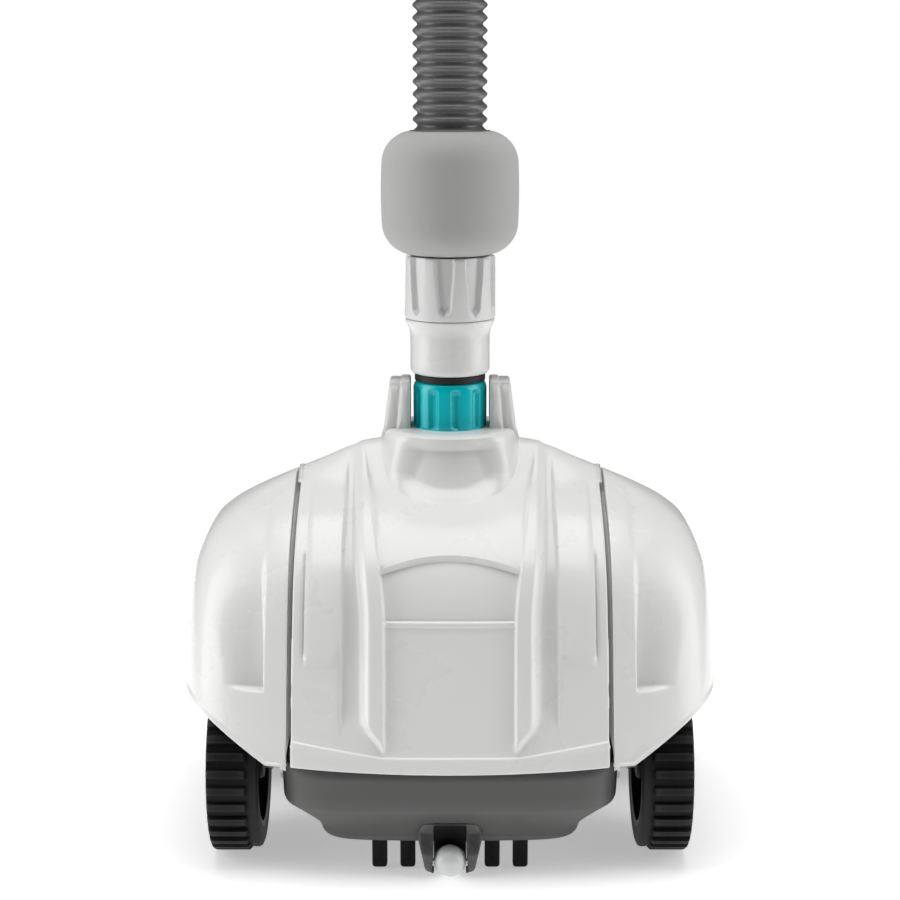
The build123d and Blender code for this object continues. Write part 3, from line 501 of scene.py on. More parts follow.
def cover_height(x, z):
    """How far the cover stands out of the plain body surface."""
    inner = ridge_inner(z)
    outer = np.maximum(ridge_outer(z), inner + 2)
    lip_start, lip_full, lip_falls, lip_end = LIP_LEVELS
    fade = 1 - ease(z, 196, 226)
    beside = ease(x, inner - 0.7, inner + 0.9)
    middle = 1 - beside
    height = beside * (1 - ease(x, outer - 5, outer)) * (1 + RIDGE_RISE * fade) * ease(z, 74, 82)
    above = ease(z, arc_z(x) - STEP_HALF, arc_z(x) + STEP_HALF)
    height += middle * above * PANEL_LIFT * (1 - 0.6 * ease(z, 190, 215))
    height -= middle * (1 - above) * ease(z, lip_falls, lip_end) * RECESS_DEPTH
    height += middle * ease(z, lip_start, lip_full) * (1 - ease(z, lip_falls, lip_end)) * LIP_HEIGHT
    channel = ease(x, outer - 1, outer + 1) * (1 - ease(x, *CHANNEL_ENDS))
    height -= channel * CHANNEL_DEPTH * fade * ease(z, 84, 100)
    to_x, to_z = TAB_X + TAB_ROUND - x, TAB_Z + TAB_ROUND - z
    near_corner = (to_x > 0) & (to_z > 0)
    corner = np.where(near_corner, TAB_ROUND - np.hypot(to_x, to_z), np.minimum(x - TAB_X, z - TAB_Z))
    tab = ease(corner, -STEP_HALF, STEP_HALF) * (1 - ease(x, 80.6, 81.6))
    height += tab * TAB_HEIGHT * (1 - ease(z, 190, 215))
    slit = ease(x, 81.4, 81.9) * (1 - ease(x, 82.5, 83.0)) * ease(z, 127, 129) * (1 - ease(z, 176, 180))
    height -= slit * SLIT_DEPTH
    height += (1 - ease(z, skirt_z(x) - STEP_HALF, skirt_z(x) + STEP_HALF)) * SKIRT_HEIGHT
    return height


def roll(distance, radius):
    """How far a rounded edge falls back at a distance from it."""
    left = np.clip(radius - distance, 0, radius)
    return radius - np.sqrt(np.maximum(radius**2 - left**2, 0))


# A column's place depends on the height and a row's height on the place, so both are found by turns.
LOW_ROWS = 60
LOW_GUESS_Z = 150.0
HIGH_GUESS_Z = 205.0
GUESS_ROUNDS = 3
EDGE_ROLL = 1.2
cover_rows = sum(ROW_COUNTS) + UPPER_ROWS + 1
cover_columns = sum(COLUMN_COUNTS) + 1
across, height = np.zeros((cover_rows, cover_columns)), np.zeros((cover_rows, cover_columns))
for row in range(cover_rows):
    for column in range(cover_columns):
        z = LOW_GUESS_Z if row < LOW_ROWS else HIGH_GUESS_Z
        for attempt in range(GUESS_ROUNDS):
            x = cover_column(column, z)
            z = cover_row(row, x)
        across[row, column], height[row, column] = x, z
depth = body_y(across, height)
depth[-1] = 0
quarter = np.stack([across, -depth, height], axis=2)
front = np.concatenate([quarter[:, :0:-1] * (-1, 1, 1), quarter], axis=1)
whole = np.concatenate([front, front[-2::-1] * (1, -1, 1)], axis=0)
lift = cover_height(np.abs(whole[:, :, 0]), whole[:, :, 2])
edge_gap = SEAM_INNER - np.abs(whole[:, :, 0])
foot_gap = whole[:, :, 2] - bottom_z(whole[:, :, 0])
lift = lift - roll(edge_gap, EDGE_ROLL) - roll(foot_gap, EDGE_ROLL)
whole = whole + normals(whole) * lift[:, :, None]
whole[:, :, 0] = np.clip(whole[:, :, 0], -SEAM_INNER, SEAM_INNER)

SEAM_WALL = 13
SEAM_WALL_LEAST = 0.2
turned_in = normals(whole)
for side in (0, -1):
    taper = ease(whole[:, side, 2], 68, 80)[:, None]
    wall = whole[:, side] - turned_in[:, side] * (SEAM_WALL_LEAST + SEAM_WALL * taper)
    wall[:, 0] = whole[:, side, 0]
    stack = (wall[:, None], whole) if side == 0 else (whole, wall[:, None])
    whole = np.concatenate(stack, axis=1)
    turned_in = normals(whole)
COVER_HOLE = 26
cover = Shape()
cover.grid([[tuple(p) for p in row] for row in whole])
cover.faces = [f for f in cover.faces if min(math.hypot(*cover.points[v][:2]) for v in f) > COVER_HOLE]

# Tower: a turned form with a scoop in its front and back, and the deck that the lock ring stands in.
TOWER_PROFILE = (
    (20.4, 226), (20.4, 235.5), (21.4, 236.3), (23, 236.5), (33, 236.5), (36.6, 236.4), (37.9, 235.7),
    (38.5, 234), (39.4, 230), (40.5, 225), (41.8, 220), (43.5, 215), (45.3, 211), (47.6, 207), (50.4, 203),
    (54, 199), (59.5, 194), (66, 188),
)
TOWER_STEP = 1.0
TOWER_SIDES = 288
DECK_RADIUS = 30
PLAIN_SIDE = 0.3
SCOOP_HALF = 34
SCOOP_DEPTH = 4.6
LOBE_HEIGHT = 0.8
scoop_width = through((196, 203, 212, 232, 237), (36, 34, 30, 23, 22))


def tower_radius(r, z, turn):
    """Scoops the front and back of the tower and leaves a lobe beside each scoop."""
    x = r * math.cos(turn)
    if r < DECK_RADIUS or abs(math.sin(turn)) < PLAIN_SIDE:
        return r
    edge = float(scoop_width(z)) - abs(x)
    floor = 196.5 + 17 * (abs(x) / SCOOP_HALF) ** 2.4
    bowl = float(ease(edge, -6, 9) * ease(z, floor - 2, floor + 12) * (1 - ease(z, 229, 235.5)))
    lobe = float(ease(abs(x), 18, 27) * (1 - ease(abs(x), 29, 38)) * ease(z, 206, 220))
    return r - SCOOP_DEPTH * bowl + LOBE_HEIGHT * lobe * (1 - bowl)


tower_shape = Shape()
tower_shape.lathe(dense(TOWER_PROFILE, TOWER_STEP, int)[::-1], TOWER_SIDES, tower_radius)
cover.join(tower_shape, flip=True)

# How deep and how far in each loop of a plate's rounded edge lies, in bevels.
EDGE_LOOPS = ((0, 1.8), (0, 1), (0.3, 0.3), (1, 0))
CORNER_REACH = 1.3


def slab(shape, outline, low, high, bevel=0.8):
    """Bevelled plate: an (x, z) outline carried along Y."""
    middle = np.mean(outline, axis=0)
    sections = [(low + bevel * deep, bevel * inset) for deep, inset in EDGE_LOOPS]
    sections += [(high - bevel * deep, bevel * inset) for deep, inset in EDGE_LOOPS[::-1]]
    loops = []
    for y, inset in sections:
        ring = []
        for point in outline:
            inward = np.subtract(middle, point)
            moved = point + inward / np.hypot(*inward) * inset * CORNER_REACH
            ring.append((moved[0], y, moved[1]))
        loops.append(ring)
    shape.grid(loops, around=True, flip=True)
    shape.fan(loops[0], (middle[0], low, middle[1]))
    shape.fan(loops[-1], (middle[0], high, middle[1]), flip=True)


# Outline and half depth of the two plates that make a cheek, on the +X side.
CHEEK_PLATES = (
    (((23.5, 234), (32, 234), (29.3, 267), (23.5, 267)), 13),
    (((31.6, 234), (40, 233), (35.6, 266.4), (28.9, 266.4)), 11.6),
)
CHEEK_CORNER = 1.6
COVER_WALL = 2.0
for side in (-1, 1):
    for outline, half in CHEEK_PLATES:
        placed = [(side * x, z) for x, z in outline[::side]]
        plate = Shape()
        slab(plate, bevelled(placed, CHEEK_CORNER), -half, half)
        cover.join(plate)
thicken(cover.make("top_cover", "top_shell", "root", 45), COVER_WALL)

# ---------------------------------------------------------------- fenders
FENDER_CUT_X = 103
FENDER_EDGE = (151, 98)
FENDER_ROWS = 84
FENDER_STEPS = 300
SEAM_SAMPLES = 160
FOOT_SAMPLES = 12
EDGE_SAMPLES = 60
EDGE_ROUND = 6
FENDER_WALL = 2.2
FENDER_SCOOP_DEPTH = 8.5
FENDER_STEP_DEPTH = 1.0
FENDER_LIP = 0.9
LOWER_ROLL = 1.0
NEAR_EDGE = [0, 0.004, 0.009, 0.014]
NEAR_END = [0.986, 0.991, 0.996, 1]
POLE_STEPS = 6
GROOVE_DEPTH = 4.5
GROOVE_FLOOR_X = 88.9
GROOVE_FLOOR_DEPTH = 0.4
BODY_TOP = 233.9
LEAST_BOW = 0.2
RAY_LENGTH = 260.0
RAY_HALVINGS = 34
ORIGIN = np.array((96.0, 0.0, 95.0))


def inside(points):
    """Negative inside the plain body surface."""
    x, y, z = points[..., 0], points[..., 1], points[..., 2]
    a, b, n = half_width(z), half_length(z), squareness(z)
    share = np.abs(x) / a
    bowed = b * np.maximum(LEAST_BOW, 1 - END_BOW * share**2)
    value = share**n + (np.abs(y) / bowed) ** n - 1
    return np.where(z > BODY_TOP, 1.0, value)


def cast(directions):
    """Where rays from ORIGIN leave the body."""
    low, high = np.zeros(directions.shape[:-1]), np.full(directions.shape[:-1], RAY_LENGTH)
    for attempt in range(RAY_HALVINGS):
        middle = (low + high) / 2
        within = inside(ORIGIN + directions * middle[..., None]) < 0
        low, high = np.where(within, middle, low), np.where(within, high, middle)
    return ORIGIN + directions * low[..., None]


def fender_edges():
    """The seam side and the lower edge, each from the front foot round to the rear foot."""
    peak = float(top_z(SEAM_OUTER))
    rise = [peak - (peak - SHELL_BOTTOM) * (1 - s) ** 2 for s in np.linspace(0, 1, SEAM_SAMPLES)]
    seam = [(SEAM_OUTER, -float(body_y(SEAM_OUTER, z)), z) for z in rise]
    seam[-1] = (SEAM_OUTER, 0, peak)
    seam += [(x, -y, z) for x, y, z in seam[-2::-1]]
    foot_x = np.linspace(SEAM_OUTER, FENDER_CUT_X, FOOT_SAMPLES)
    lower = [(x, -float(body_y(x, SHELL_BOTTOM)), SHELL_BOTTOM) for x in foot_x]
    for share in np.linspace(0.02, 1, EDGE_SAMPLES):
        x = FENDER_CUT_X + (FENDER_EDGE[0] - FENDER_CUT_X) * share
        z = SHELL_BOTTOM + (FENDER_EDGE[1] - SHELL_BOTTOM) * share
        lower.append((x, -float(body_y(x, z)), z))
    wide = float(half_width(FENDER_EDGE[1]))
    start_y = -lower[-1][1]
    power = float(squareness(FENDER_EDGE[1]))
    for y in np.linspace(start_y, 0, EDGE_SAMPLES)[1:]:
        along = (y / (start_y + EDGE_ROUND)) ** power
        x = wide * (1 - along * (1 - (FENDER_EDGE[0] / wide) ** power)) ** (1 / power)
        lower.append((x, -y, FENDER_EDGE[1]))
    lower += [(x, -y, z) for x, y, z in lower[-2::-1]]
    return spread(seam, FENDER_STEPS), spread(lower, FENDER_STEPS)


seam_line, lower_line = fender_edges()
from_seam = seam_line - ORIGIN
from_seam /= np.linalg.norm(from_seam, axis=1, keepdims=True)
from_lower = lower_line - ORIGIN
from_lower /= np.linalg.norm(from_lower, axis=1, keepdims=True)
angle = np.arccos(np.clip((from_seam * from_lower).sum(axis=1), -1, 1))
angle = np.maximum(angle, 1e-4)
shares = np.concatenate([NEAR_EDGE, np.linspace(0.022, 0.978, FENDER_ROWS), NEAR_END])
rays = np.stack([
    from_seam * (np.sin((1 - t) * angle) / np.sin(angle))[:, None]
    + from_lower * (np.sin(t * angle) / np.sin(angle))[:, None]
    for t in shares
])
dome = cast(rays)
dome[:, :, 0] = np.maximum(dome[:, :, 0], SEAM_OUTER)
dome_normals = -normals(dome)
inwards = ((dome - ORIGIN) * dome_normals).sum(axis=2) < 0
dome_normals[inwards] *= -1
x, y, z = dome[..., 0], np.abs(dome[..., 1]), dome[..., 2]
end_face = ease(y / np.maximum(body_y(np.full_like(z, 100.0), z), 1), 0.55, 0.8)
reach = 128 + 12 * ease(z, 110, 160)
scoop = (
    ease(x, 104, 106.5)
    * (1 - ease(x, 106, reach))
    * ease(z, 106.5, 109.5)
    * (1 - ease(z, 112, 182)) ** 0.8
    * end_face
)
step_edge = (
    ease(x, 103, 105)
    * (1 - ease(x, 106, 122))
    * ease(z, 176, 186)
    * (1 - ease(z, 198, 207))
    * end_face
)
seam_gap = np.linalg.norm(dome - dome[0][None], axis=2)
lower_gap = np.linalg.norm(dome - dome[-1][None], axis=2)
lip = ease(lower_gap, 0, 0.8) * (1 - ease(lower_gap, 1.6, 3.2)) * FENDER_LIP
push = -FENDER_SCOOP_DEPTH * scoop - FENDER_STEP_DEPTH * step_edge + lip
push = push - roll(seam_gap, EDGE_ROLL) - roll(lower_gap, LOWER_ROLL)
steps = np.arange(FENDER_STEPS)
from_pole = np.minimum(steps, FENDER_STEPS - 1 - steps)
for step in np.nonzero(from_pole < POLE_STEPS)[0]:
    source = POLE_STEPS if step < POLE_STEPS else FENDER_STEPS - 1 - POLE_STEPS
    dome_normals[:, step] = dome_normals[:, source]
push = push * ease(from_pole, 0, 4)[None]
dome = dome + dome_normals * push[:, :, None]
dome[0, :, 0] = SEAM_OUTER
taper = ease(from_pole, 3, 16)[:, None]
wall = dome[0] - dome_normals[0] * GROOVE_DEPTH * taper
wall[:, 0] = SEAM_OUTER
groove_floor = dome[0] - dome_normals[0] * (GROOVE_DEPTH + GROOVE_FLOOR_DEPTH) * taper
groove_floor[:, 0] = SEAM_OUTER + (GROOVE_FLOOR_X - SEAM_OUTER) * taper[:, 0]
dome = np.concatenate([groove_floor[None], wall[None], dome])
for side, name in ((-1, "left_fender"), (1, "right_fender")):
    fender = Shape()
    fender.grid([[(side * p[0], p[1], p[2]) for p in row] for row in dome], flip=side > 0)
    thicken(fender.make(name + "_shell", name, "root", 50), FENDER_WALL)

# ---------------------------------------------------------------- wheels
WHEEL_RADIUS = middle_mm("rear_left_tyre")[2]
WHEEL_TRACK_Y = middle_mm("rear_left_tyre")[1]
LUG_COUNT = 32
GAP_RADIUS = 48.4
LUG_STEPS = 12
TREAD_START_X = 114.6
GAP_SINK = 0.1
TYRE_PROFILE = (
    (38.1, 108.4), (43, 108), (46.6, 108.1), (48.4, 108.9), (49.1, 110.2), (49.1, 112.6), (48.7, 113.8),
    (48.6, 114.4), (50.2, 114.9), (51, 115.9), (51, 120), (51, 126), (51, 131), (51, 134.6), (50.4, 136.1),
    (49, 136.9), (46, 137), (41, 136.8), (38.1, 136.4),
)


def lug(turn):
    """1 on a lug and 0 between lugs."""
    phase = (turn * LUG_COUNT / (2 * math.pi) + 0.25) % 1
    return float(ease(phase, 0.0, 0.09) * (1 - ease(phase, 0.5, 0.59)))


def tyre_radius(r, x, turn):
    """Cuts the gaps between the lugs into the tread."""
    if x < TREAD_START_X or r <= GAP_RADIUS:
        return r
    return GAP_RADIUS - GAP_SINK + (r - GAP_RADIUS) * lug(turn)


HUB_POCKETS = 6
POCKET_DEPTH = 3.2
FACE_START_X = 127
FACE_RADIUS = 33


def hub_face(turn, r):
    """Depth of the moulded recesses in the hub's disc."""
    phase = (turn * HUB_POCKETS / (2 * math.pi)) % 1
    pocket = ease(phase, 0.09, 0.16) * (1 - ease(phase, 0.84, 0.91))
    return POCKET_DEPTH * float(pocket * ease(r, 13, 15) * (1 - ease(r, 29.5, 31.5)))


HUB_PROFILE = (
    (4.2, 108.6), (9, 108.6), (10, 110), (10, 124), (34, 124), (34.4, 108.6), (37.9, 108.2), (38.0, 110),
    (38.0, 135), (37.4, 136.6), (36, 137), (34.6, 136.4), (33.8, 134), (33.4, 130), (32.4, 129), (31, 128.8),
    (28, 128.9), (25, 129.1), (22, 129.4), (19, 129.8), (16, 130.3), (13, 131), (11, 132.4), (9.6, 135),
    (9.0, 136.2), (7.6, 136.6),
)
CAP_PROFILE = (
    (0.2, 137.2), (4, 137.2), (5.2, 138), (6.0, 139.4), (7.4, 140), (8.6, 139.4), (9, 138.2), (9, 137.05),
    (5.6, 137),
)
TYRE_STEP = 5
HUB_STEP = 1.6
HUB_SIDES = 144
CAP_SIDES = 48
WHEEL_SHARP = 35
CORNERS = (
    ("front_left", -1, -1, "front_left_wheel"),
    ("front_right", 1, -1, "front_right_wheel"),
    ("rear_left", -1, 1, "rear_wheels"),
    ("rear_right", 1, 1, "rear_wheels"),
)


def wheel_part(name, profile, side, end, node, body, segments, carve=None, face=None):
    """Turned part of a wheel; carve changes its radius and face sinks its outer side."""
    rows = []
    for r, along in profile:
        row = []
        for step in range(segments):
            turn = 2 * math.pi * step / segments
            radius = carve(r, along, turn) if carve else r
            x = along - (face(turn, r) if face and along > FACE_START_X and r < FACE_RADIUS else 0)
            y = end * WHEEL_TRACK_Y + radius * math.cos(turn)
            row.append((side * x, y, WHEEL_RADIUS + radius * math.sin(turn)))
        rows.append(row)
    shape = Shape()
    shape.grid(rows, around=True, flip=side < 0)
    shape.make(name, node, body, WHEEL_SHARP)


tyre_profile = dense(TYRE_PROFILE, TYRE_STEP)
hub_profile = dense(HUB_PROFILE, HUB_STEP)
for corner, side, end, body in CORNERS:
    tyre, hub, cap = corner + "_tyre", corner + "_hub", corner + "_cap"
    wheel_part(tyre + "_tread", tyre_profile, side, end, tyre, body, LUG_COUNT * LUG_STEPS, tyre_radius)
    wheel_part(hub + "_disc", hub_profile, side, end, hub, body, HUB_SIDES, face=hub_face)
    wheel_part(cap + "_disc", CAP_PROFILE, side, end, cap, body, CAP_SIDES)

# ---------------------------------------------------------------- base
# Height, half width and half length of each level of the tray.
BASE_PROFILE = (
    (66.5, 96.5, 127.4), (60, 96.4, 127.3), (50, 96.1, 127), (43.5, 95.8, 126.6), (42.4, 95.4, 126.2),
    (41.5, 94.7, 125.5), (36, 89, 119.4), (30, 83, 113), (25, 77.9, 108.9), (21, 76, 107.4),
    (18.4, 75.2, 106.8), (17.8, 74.7, 106.5), (17.6, 74, 106), (17.8, 73.4, 105.6), (22, 73.2, 105.4),
)
BASE_SQUARENESS = 9
BASE_BOW = 0.03
BASE_SIDES = 240
BASE_WALL = 2.4
THROAT_HALF = 21
THROAT_Z = 22
THROAT_CORNER = 1.4
base_turns = [2 * math.pi * step / BASE_SIDES for step in range(BASE_SIDES)]
base_rows = []
for z, a, b in BASE_PROFILE:
    row = []
    for turn in base_turns:
        c, s = math.cos(turn), math.sin(turn)
        reach = ((abs(c) / a) ** BASE_SQUARENESS + (abs(s) / b) ** BASE_SQUARENESS) ** (-1 / BASE_SQUARENESS)
        row.append((reach * c, reach * s * (1 - BASE_BOW * (reach * c / a) ** 2), z))
    base_rows.append(row)


def throat_side(value):
    """Sine or cosine widened and cut off, which makes a square of a circle."""
    return THROAT_HALF * max(-1, min(1, THROAT_CORNER * value))


throat = [(throat_side(math.cos(turn)), throat_side(math.sin(turn)), THROAT_Z) for turn in base_turns]
halfway = [tuple(0.5 * (p + q) for p, q in zip(outer, inner)) for outer, inner in zip(base_rows[-1], throat)]
base_rows += [halfway, throat]
base_shape = Shape()
base_shape.grid(base_rows, around=True, flip=True)
thicken(base_shape.make("base_tray", "base_chassis", "root", 30), BASE_WALL)

# ---------------------------------------------------------------- nose
HOOD_OUTER = (
    (-13.8, 3), (-15.5, 12), (-18.5, 22.5), (-15, 31), (15, 31), (18.5, 22.5), (15.5, 12), (13.8, 3),
)
HOOD_INNER = ((-10.6, 3), (-9.4, 12), (-9.0, 30), (9.0, 30), (9.4, 12), (10.6, 3))
HOOD_COLUMNS = 80
HOOD_WALL = 0.8
HOOD_STAND = 0.8
HOOD_LEVELS = (3, 6, 14, 20, 25, 30, 36, 41.5)
HOOD_REACH = (115.5, 117.5, 117.5, 113, 110.5, 113.4, 119.4, 125.5)
# Share of the way from the outer to the inner outline, and distance behind the front, of each row.
HOOD_ROWS = ((0, 9.0), (0, 1.2), (0.1, 0.3), (0.3, 0), (0.7, 0), (0.92, 0.4), (1.0, 1.4), (1.0, 9.0))
# Height and distance forward of the black sheet behind the roller, which is painted shade standing for the
# shadow in the notch there.
SHADE_SHEET_LINE = ((4, 104), (16, 104.2), (17.4, 107.4), (25, 109.9), (30, 113.9), (31.2, 115), (31.4, 113))
SHADE_SHEET_X = (-9.2, -9, -4.5, 0, 4.5, 9, 9.2)


def hood_front(z):
    """Front of the hood at a height, a little out of the base's sloping front."""
    return -float(np.interp(z, HOOD_LEVELS, HOOD_REACH)) - HOOD_STAND


outer_line = spread(bevelled(HOOD_OUTER, 3), HOOD_COLUMNS)
inner_line = spread(bevelled(HOOD_INNER, 1.6), HOOD_COLUMNS)
hood_rows = []
for share, back in HOOD_ROWS:
    row = []
    for x, z in outer_line + (inner_line - outer_line) * share:
        row.append((x, hood_front(z) + back, z))
    hood_rows.append(row)
hood = Shape()
hood.grid(hood_rows, flip=True)
thicken(hood.make("nose_hood", "nose_bracket", "root", 40), HOOD_WALL)
# Painted shade: a black sheet in the black plastic finish stands for the shadow that falls in the notch
# behind the roller.
shade_sheet = Shape()
shade_sheet.grid([[(x, -y, z) for x in SHADE_SHEET_X] for z, y in SHADE_SHEET_LINE])
shade_sheet.make("nose_painted_shade", "nose_bracket", "root", 40, "black_plastic")

BALL_RADIUS = 9
BALL_CENTRE = middle_mm("nose_ball")
BALL_STEPS = 32
BALL_SIDES = 64
PIN_HOLE = 1.6
ball_profile = []
for step in range(BALL_STEPS + 1):
    turn = math.pi * step / BALL_STEPS
    ball_profile.append((max(PIN_HOLE, BALL_RADIUS * math.sin(turn)), -BALL_RADIUS * math.cos(turn)))
ball_shape = Shape()
ball_shape.lathe(ball_profile, BALL_SIDES, axis="x", centre=BALL_CENTRE)
ball_shape.make("nose_roller_ball", "nose_ball", "nose_roller", 40)

# ---------------------------------------------------------------- rubber fingers
FINGER_X = (-40, -24, 24, 40)
FINGER_Y = middle_mm("rear_fingers")[1]
# Half width, lowest and highest z, corner radius, half depth and edge bevel of a finger and of its rib.
FINGER_PLATES = ((4.3, 1, 24, 2.2, 2.5, 0.9), (0.5, 4, 21, 0.4, 3.0, 0.3))
for end, node in ((-1, "front_fingers"), (1, "rear_fingers")):
    fingers = Shape()
    for x in FINGER_X:
        for half, low, high, corner, deep, bevel in FINGER_PLATES:
            outline = bevelled([(x - half, low), (x + half, low), (x + half, high), (x - half, high)], corner)
            slab(fingers, outline, end * FINGER_Y - deep, end * FINGER_Y + deep, bevel)
    fingers.make(node + "_set", node, "root", 40)


# ---------------------------------------------------------------- lock ring, neck, cuff, float
def from_front(turn):
    """Angle from the front, positive towards +X."""
    return (turn + math.pi / 2 + math.pi) % (2 * math.pi) - math.pi


RIB_COUNT = 10
FIRST_RIB = -27
RIB_GROOVE = 1.9
RING_INSIDE = 19.8
RING_SIDES = 360
RING_PROFILE = (
    (19.4, 237.2), (20.2, 237.2), (21.6, 237.8), (21.8, 240), (21.8, 262.4), (20.8, 265), (19.2, 266),
    (16.9, 266), (16.9, 264.6), (19.4, 264.6), (19.4, 237.2),
)


def ring_radius(r, z, turn):
    """Cuts the upright grooves of the lock ring."""
    if r < RING_INSIDE:
        return r
    cut = 0.0
    for n in range(RIB_COUNT):
        centre = math.radians(FIRST_RIB + 360 / RIB_COUNT * n)
        gap = abs((from_front(turn) - centre + math.pi) % (2 * math.pi) - math.pi)
        cut = max(cut, 1 - float(ease(gap, 0.04, 0.17)))
    return r - RIB_GROOVE * cut * float(ease(z, 238, 240.5) * (1 - ease(z, 260, 263)))


ring_shape = Shape()
ring_shape.lathe(dense(rounded(RING_PROFILE, 1.2), 1.2), RING_SIDES, ring_radius)
ring_shape.make("lock_ring_grip", "lock_ring", "lock_ring_turner", 40)

NECK_PROFILE = (
    (16.6, 277.9), (16.6, 270.1), (20, 270), (22.4, 270.6), (23.5, 272.6), (23.5, 294), (24.2, 297),
    (26.8, 302.8), (19.2, 303), (19, 316), (16, 316), (16, 295), (14, 291), (14, 278), (16.6, 277.9),
)
NECK_SIDES = 128
neck_shape = Shape()
neck_shape.lathe(dense(rounded(NECK_PROFILE, 1.4), 2.5), NECK_SIDES)
neck_shape.make("swivel_neck_body", "swivel_neck", "hose_swivel", 40)

FLUTE_APART = 40
FLUTE_TURN = 13
FLUTE_DEPTH = 3.2
CUFF_INSIDE = 24
CUFF_RADIUS = 26.8
CUFF_ROWS = 30
CUFF_SIDES = 360
CUFF_FOOT = ((19.2, 303.1), (25.6, 303.1), (26.5, 303.6), (CUFF_RADIUS, 304.6))
CUFF_TOP = (
    (26.7, 339.0), (26.2, 339.7), (25.2, 340), (21.9, 340), (21.9, 318.2), (19.2, 318.0), (19.2, 303.1),
)


def cuff_radius(r, z, turn):
    """Cuts the flutes of the cuff, which widen upwards."""
    if r < CUFF_INSIDE:
        return r
    past = from_front(turn) - math.radians(FLUTE_TURN) + math.pi
    gap = math.degrees(past % math.radians(FLUTE_APART))
    away = min(gap, FLUTE_APART - gap)
    wide = 8.0 + 5 * float(ease(z, 306, 338))
    foot = 305.5 + away * 0.35
    flute = (1 - float(ease(away, wide - 2.6, wide + 0.8))) * float(ease(z, foot, foot + 4))
    return r - FLUTE_DEPTH * flute * (1 - float(ease(z, 339.2, 340)) * 0.2)


cuff_side = [(CUFF_RADIUS, 304.6 + 1.1 * n) for n in range(1, CUFF_ROWS + 1)]
cuff_shape = Shape()
cuff_shape.lathe([*CUFF_FOOT, *cuff_side, *CUFF_TOP], CUFF_SIDES, cuff_radius)
cuff_shape.make("fluted_cuff_grip", "fluted_cuff", "hose_swivel", 40)

FLOAT_BOTTOM = 340.6
FLOAT_TOP = corners_mm("hose_float")[1][2]
FLOAT_CORNER = 19
FLOAT_HOLE = 22.3
FLOAT_FLAT = 23.6
FLOAT_RADIUS = 40.1
FLOAT_BELLY = 0.4
FLOAT_STEPS = 12
FLOAT_SIDES = 160
float_profile = [(FLOAT_HOLE, FLOAT_BOTTOM), (FLOAT_FLAT, FLOAT_BOTTOM)]
for step in range(FLOAT_STEPS + 1):
    turn = math.pi / 2 * step / FLOAT_STEPS
    radius = FLOAT_RADIUS - FLOAT_CORNER * (1 - math.sin(turn))
    float_profile.append((radius, FLOAT_BOTTOM + FLOAT_CORNER * (1 - math.cos(turn))))
lower_part = list(float_profile)
for step in range(1, FLOAT_STEPS):
    share = step / FLOAT_STEPS
    z = FLOAT_BOTTOM + FLOAT_CORNER + (FLOAT_TOP - FLOAT_BOTTOM - 2 * FLOAT_CORNER) * share
    float_profile.append((FLOAT_RADIUS + FLOAT_BELLY * math.sin(math.pi * share), z))
float_profile += [(r, FLOAT_TOP + FLOAT_BOTTOM - z) for r, z in lower_part[::-1]]
float_profile.append((FLOAT_HOLE, FLOAT_BOTTOM))
float_shape = Shape()
float_shape.lathe(float_profile, FLOAT_SIDES)
float_piece = float_shape.make("float_foam", "hose_float", "float_slider", 50)

END_PROFILE = (
    (21.9, 545.2), (24.6, 545.2), (26, 548), (26, 566), (25.4, 568), (26, 570), (26, 590), (25.4, 592),
    (26, 594), (26, 620), (27.5, 623), (27.5, 630.6), (26, 632), (20.4, 632), (19.06, 630.6),
    (19.06, 594), (18, 594), (18, 592.2), (21.9, 592), (21.9, 545.2),
)
END_SIDES = 128
end_shape = Shape()
end_shape.lathe(dense(rounded(END_PROFILE, 1.0), 3), END_SIDES)
end_piece = end_shape.make("end_cuff_sleeve", "hose_end_cuff", "hose_swivel", 40)

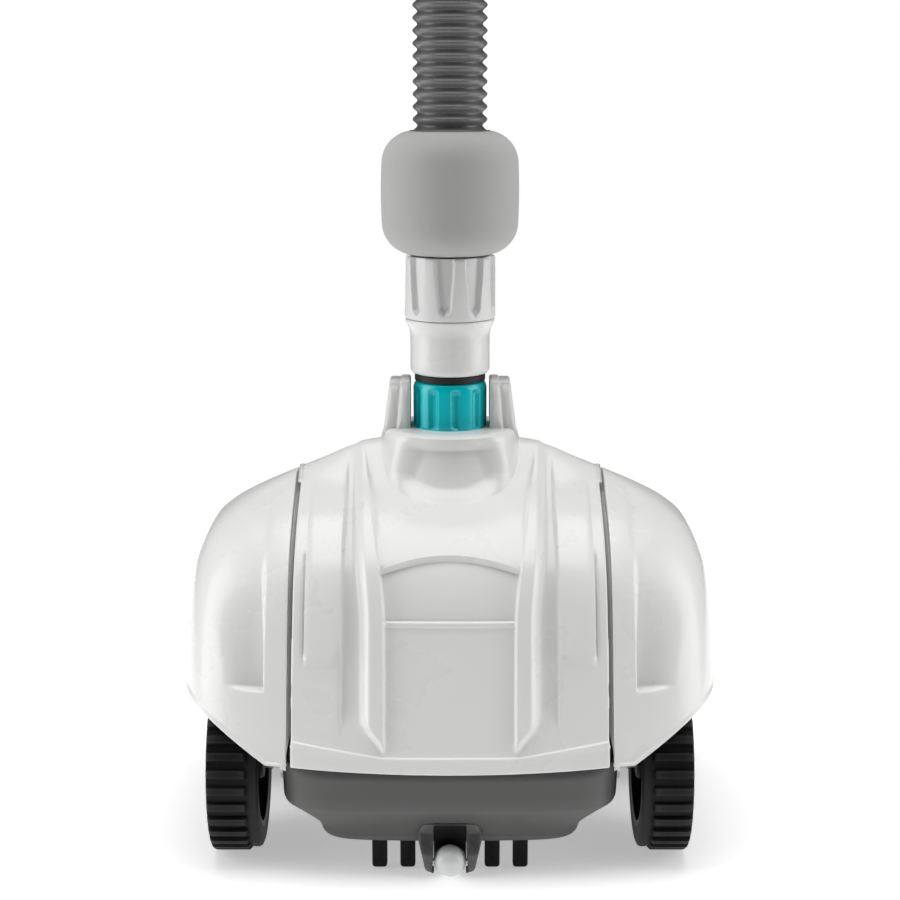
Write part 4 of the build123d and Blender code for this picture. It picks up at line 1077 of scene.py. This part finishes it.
# ---------------------------------------------------------------- floor and light
FLOOR_RADIUS = 1.15
FLOOR_SIDES = 96
FLOOR_GLOW = 0.42
floor_mesh = bpy.data.meshes.new("floor")
floor_turns = [2 * math.pi * n / FLOOR_SIDES for n in range(FLOOR_SIDES)]
rim = [(FLOOR_RADIUS * math.cos(turn), FLOOR_RADIUS * math.sin(turn), 0) for turn in floor_turns]
floor_mesh.from_pydata(rim, [], [tuple(range(FLOOR_SIDES))])
floor = bpy.data.objects.new("floor", floor_mesh)
bpy.context.scene.collection.objects.link(floor)
floor_mesh.materials.append(surface("floor_paint", (0.88, 0.88, 0.88), 0.7, 300, 0.00002, 0.01))
glow = floor_mesh.materials[0].node_tree.nodes["Principled BSDF"]
glow.inputs["Emission Color"].default_value = (1, 1, 1, 1)
glow.inputs["Emission Strength"].default_value = FLOOR_GLOW

# The sky is white to the camera; as a light it is strongest from the sides.
SKY_SIDE_STRENGTH = 0.8
SKY_SIDE_END = 0.6
scene = bpy.context.scene
scene.view_settings.view_transform = "Standard"
world = bpy.data.worlds.new("studio")
world.use_nodes = True
scene.world = world
tree = world.node_tree
sky = tree.nodes["Background"]
direction = tree.nodes.new("ShaderNodeTexCoord")
parts = tree.nodes.new("ShaderNodeSeparateXYZ")
tree.links.new(direction.outputs["Generated"], parts.inputs["Vector"])
shade = tree.nodes.new("ShaderNodeMapRange")
shade.inputs["From Min"].default_value = 0.0
shade.inputs["From Max"].default_value = SKY_SIDE_END
shade.inputs["To Min"].default_value = SKY_SIDE_STRENGTH
shade.inputs["To Max"].default_value = 0.0
from_side = tree.nodes.new("ShaderNodeMath")
from_side.operation = "ABSOLUTE"
tree.links.new(parts.outputs["Y"], from_side.inputs[0])
tree.links.new(from_side.outputs["Value"], shade.inputs["Value"])
rays = tree.nodes.new("ShaderNodeLightPath")
seen = tree.nodes.new("ShaderNodeMix")
tree.links.new(rays.outputs["Is Camera Ray"], seen.inputs["Factor"])
tree.links.new(shade.outputs["Result"], seen.inputs["A"])
seen.inputs["B"].default_value = 1.0
tree.links.new(seen.outputs["Result"], sky.inputs["Strength"])
sky.inputs["Color"].default_value = (1, 1, 1, 1)

LIGHT_AIM = (0, 0, 0.2)
# Name, place, size and power of each lamp.
LAMPS = (
    ("left_light", (-1.7, -0.3, 0.7), (1.2, 1.6), 15),
    ("right_light", (1.7, -0.2, 0.7), (1.2, 1.6), 12),
    ("top_light", (0, 0.0, 1.9), (1.6, 1.6), 22),
)
for name, place, size, power in LAMPS:
    data = bpy.data.lights.new(name, "AREA")
    data.shape = "RECTANGLE"
    data.size, data.size_y = size
    data.energy = power
    lamp = bpy.data.objects.new(name, data)
    scene.collection.objects.link(lamp)
    aim_at(lamp, place, LIGHT_AIM)
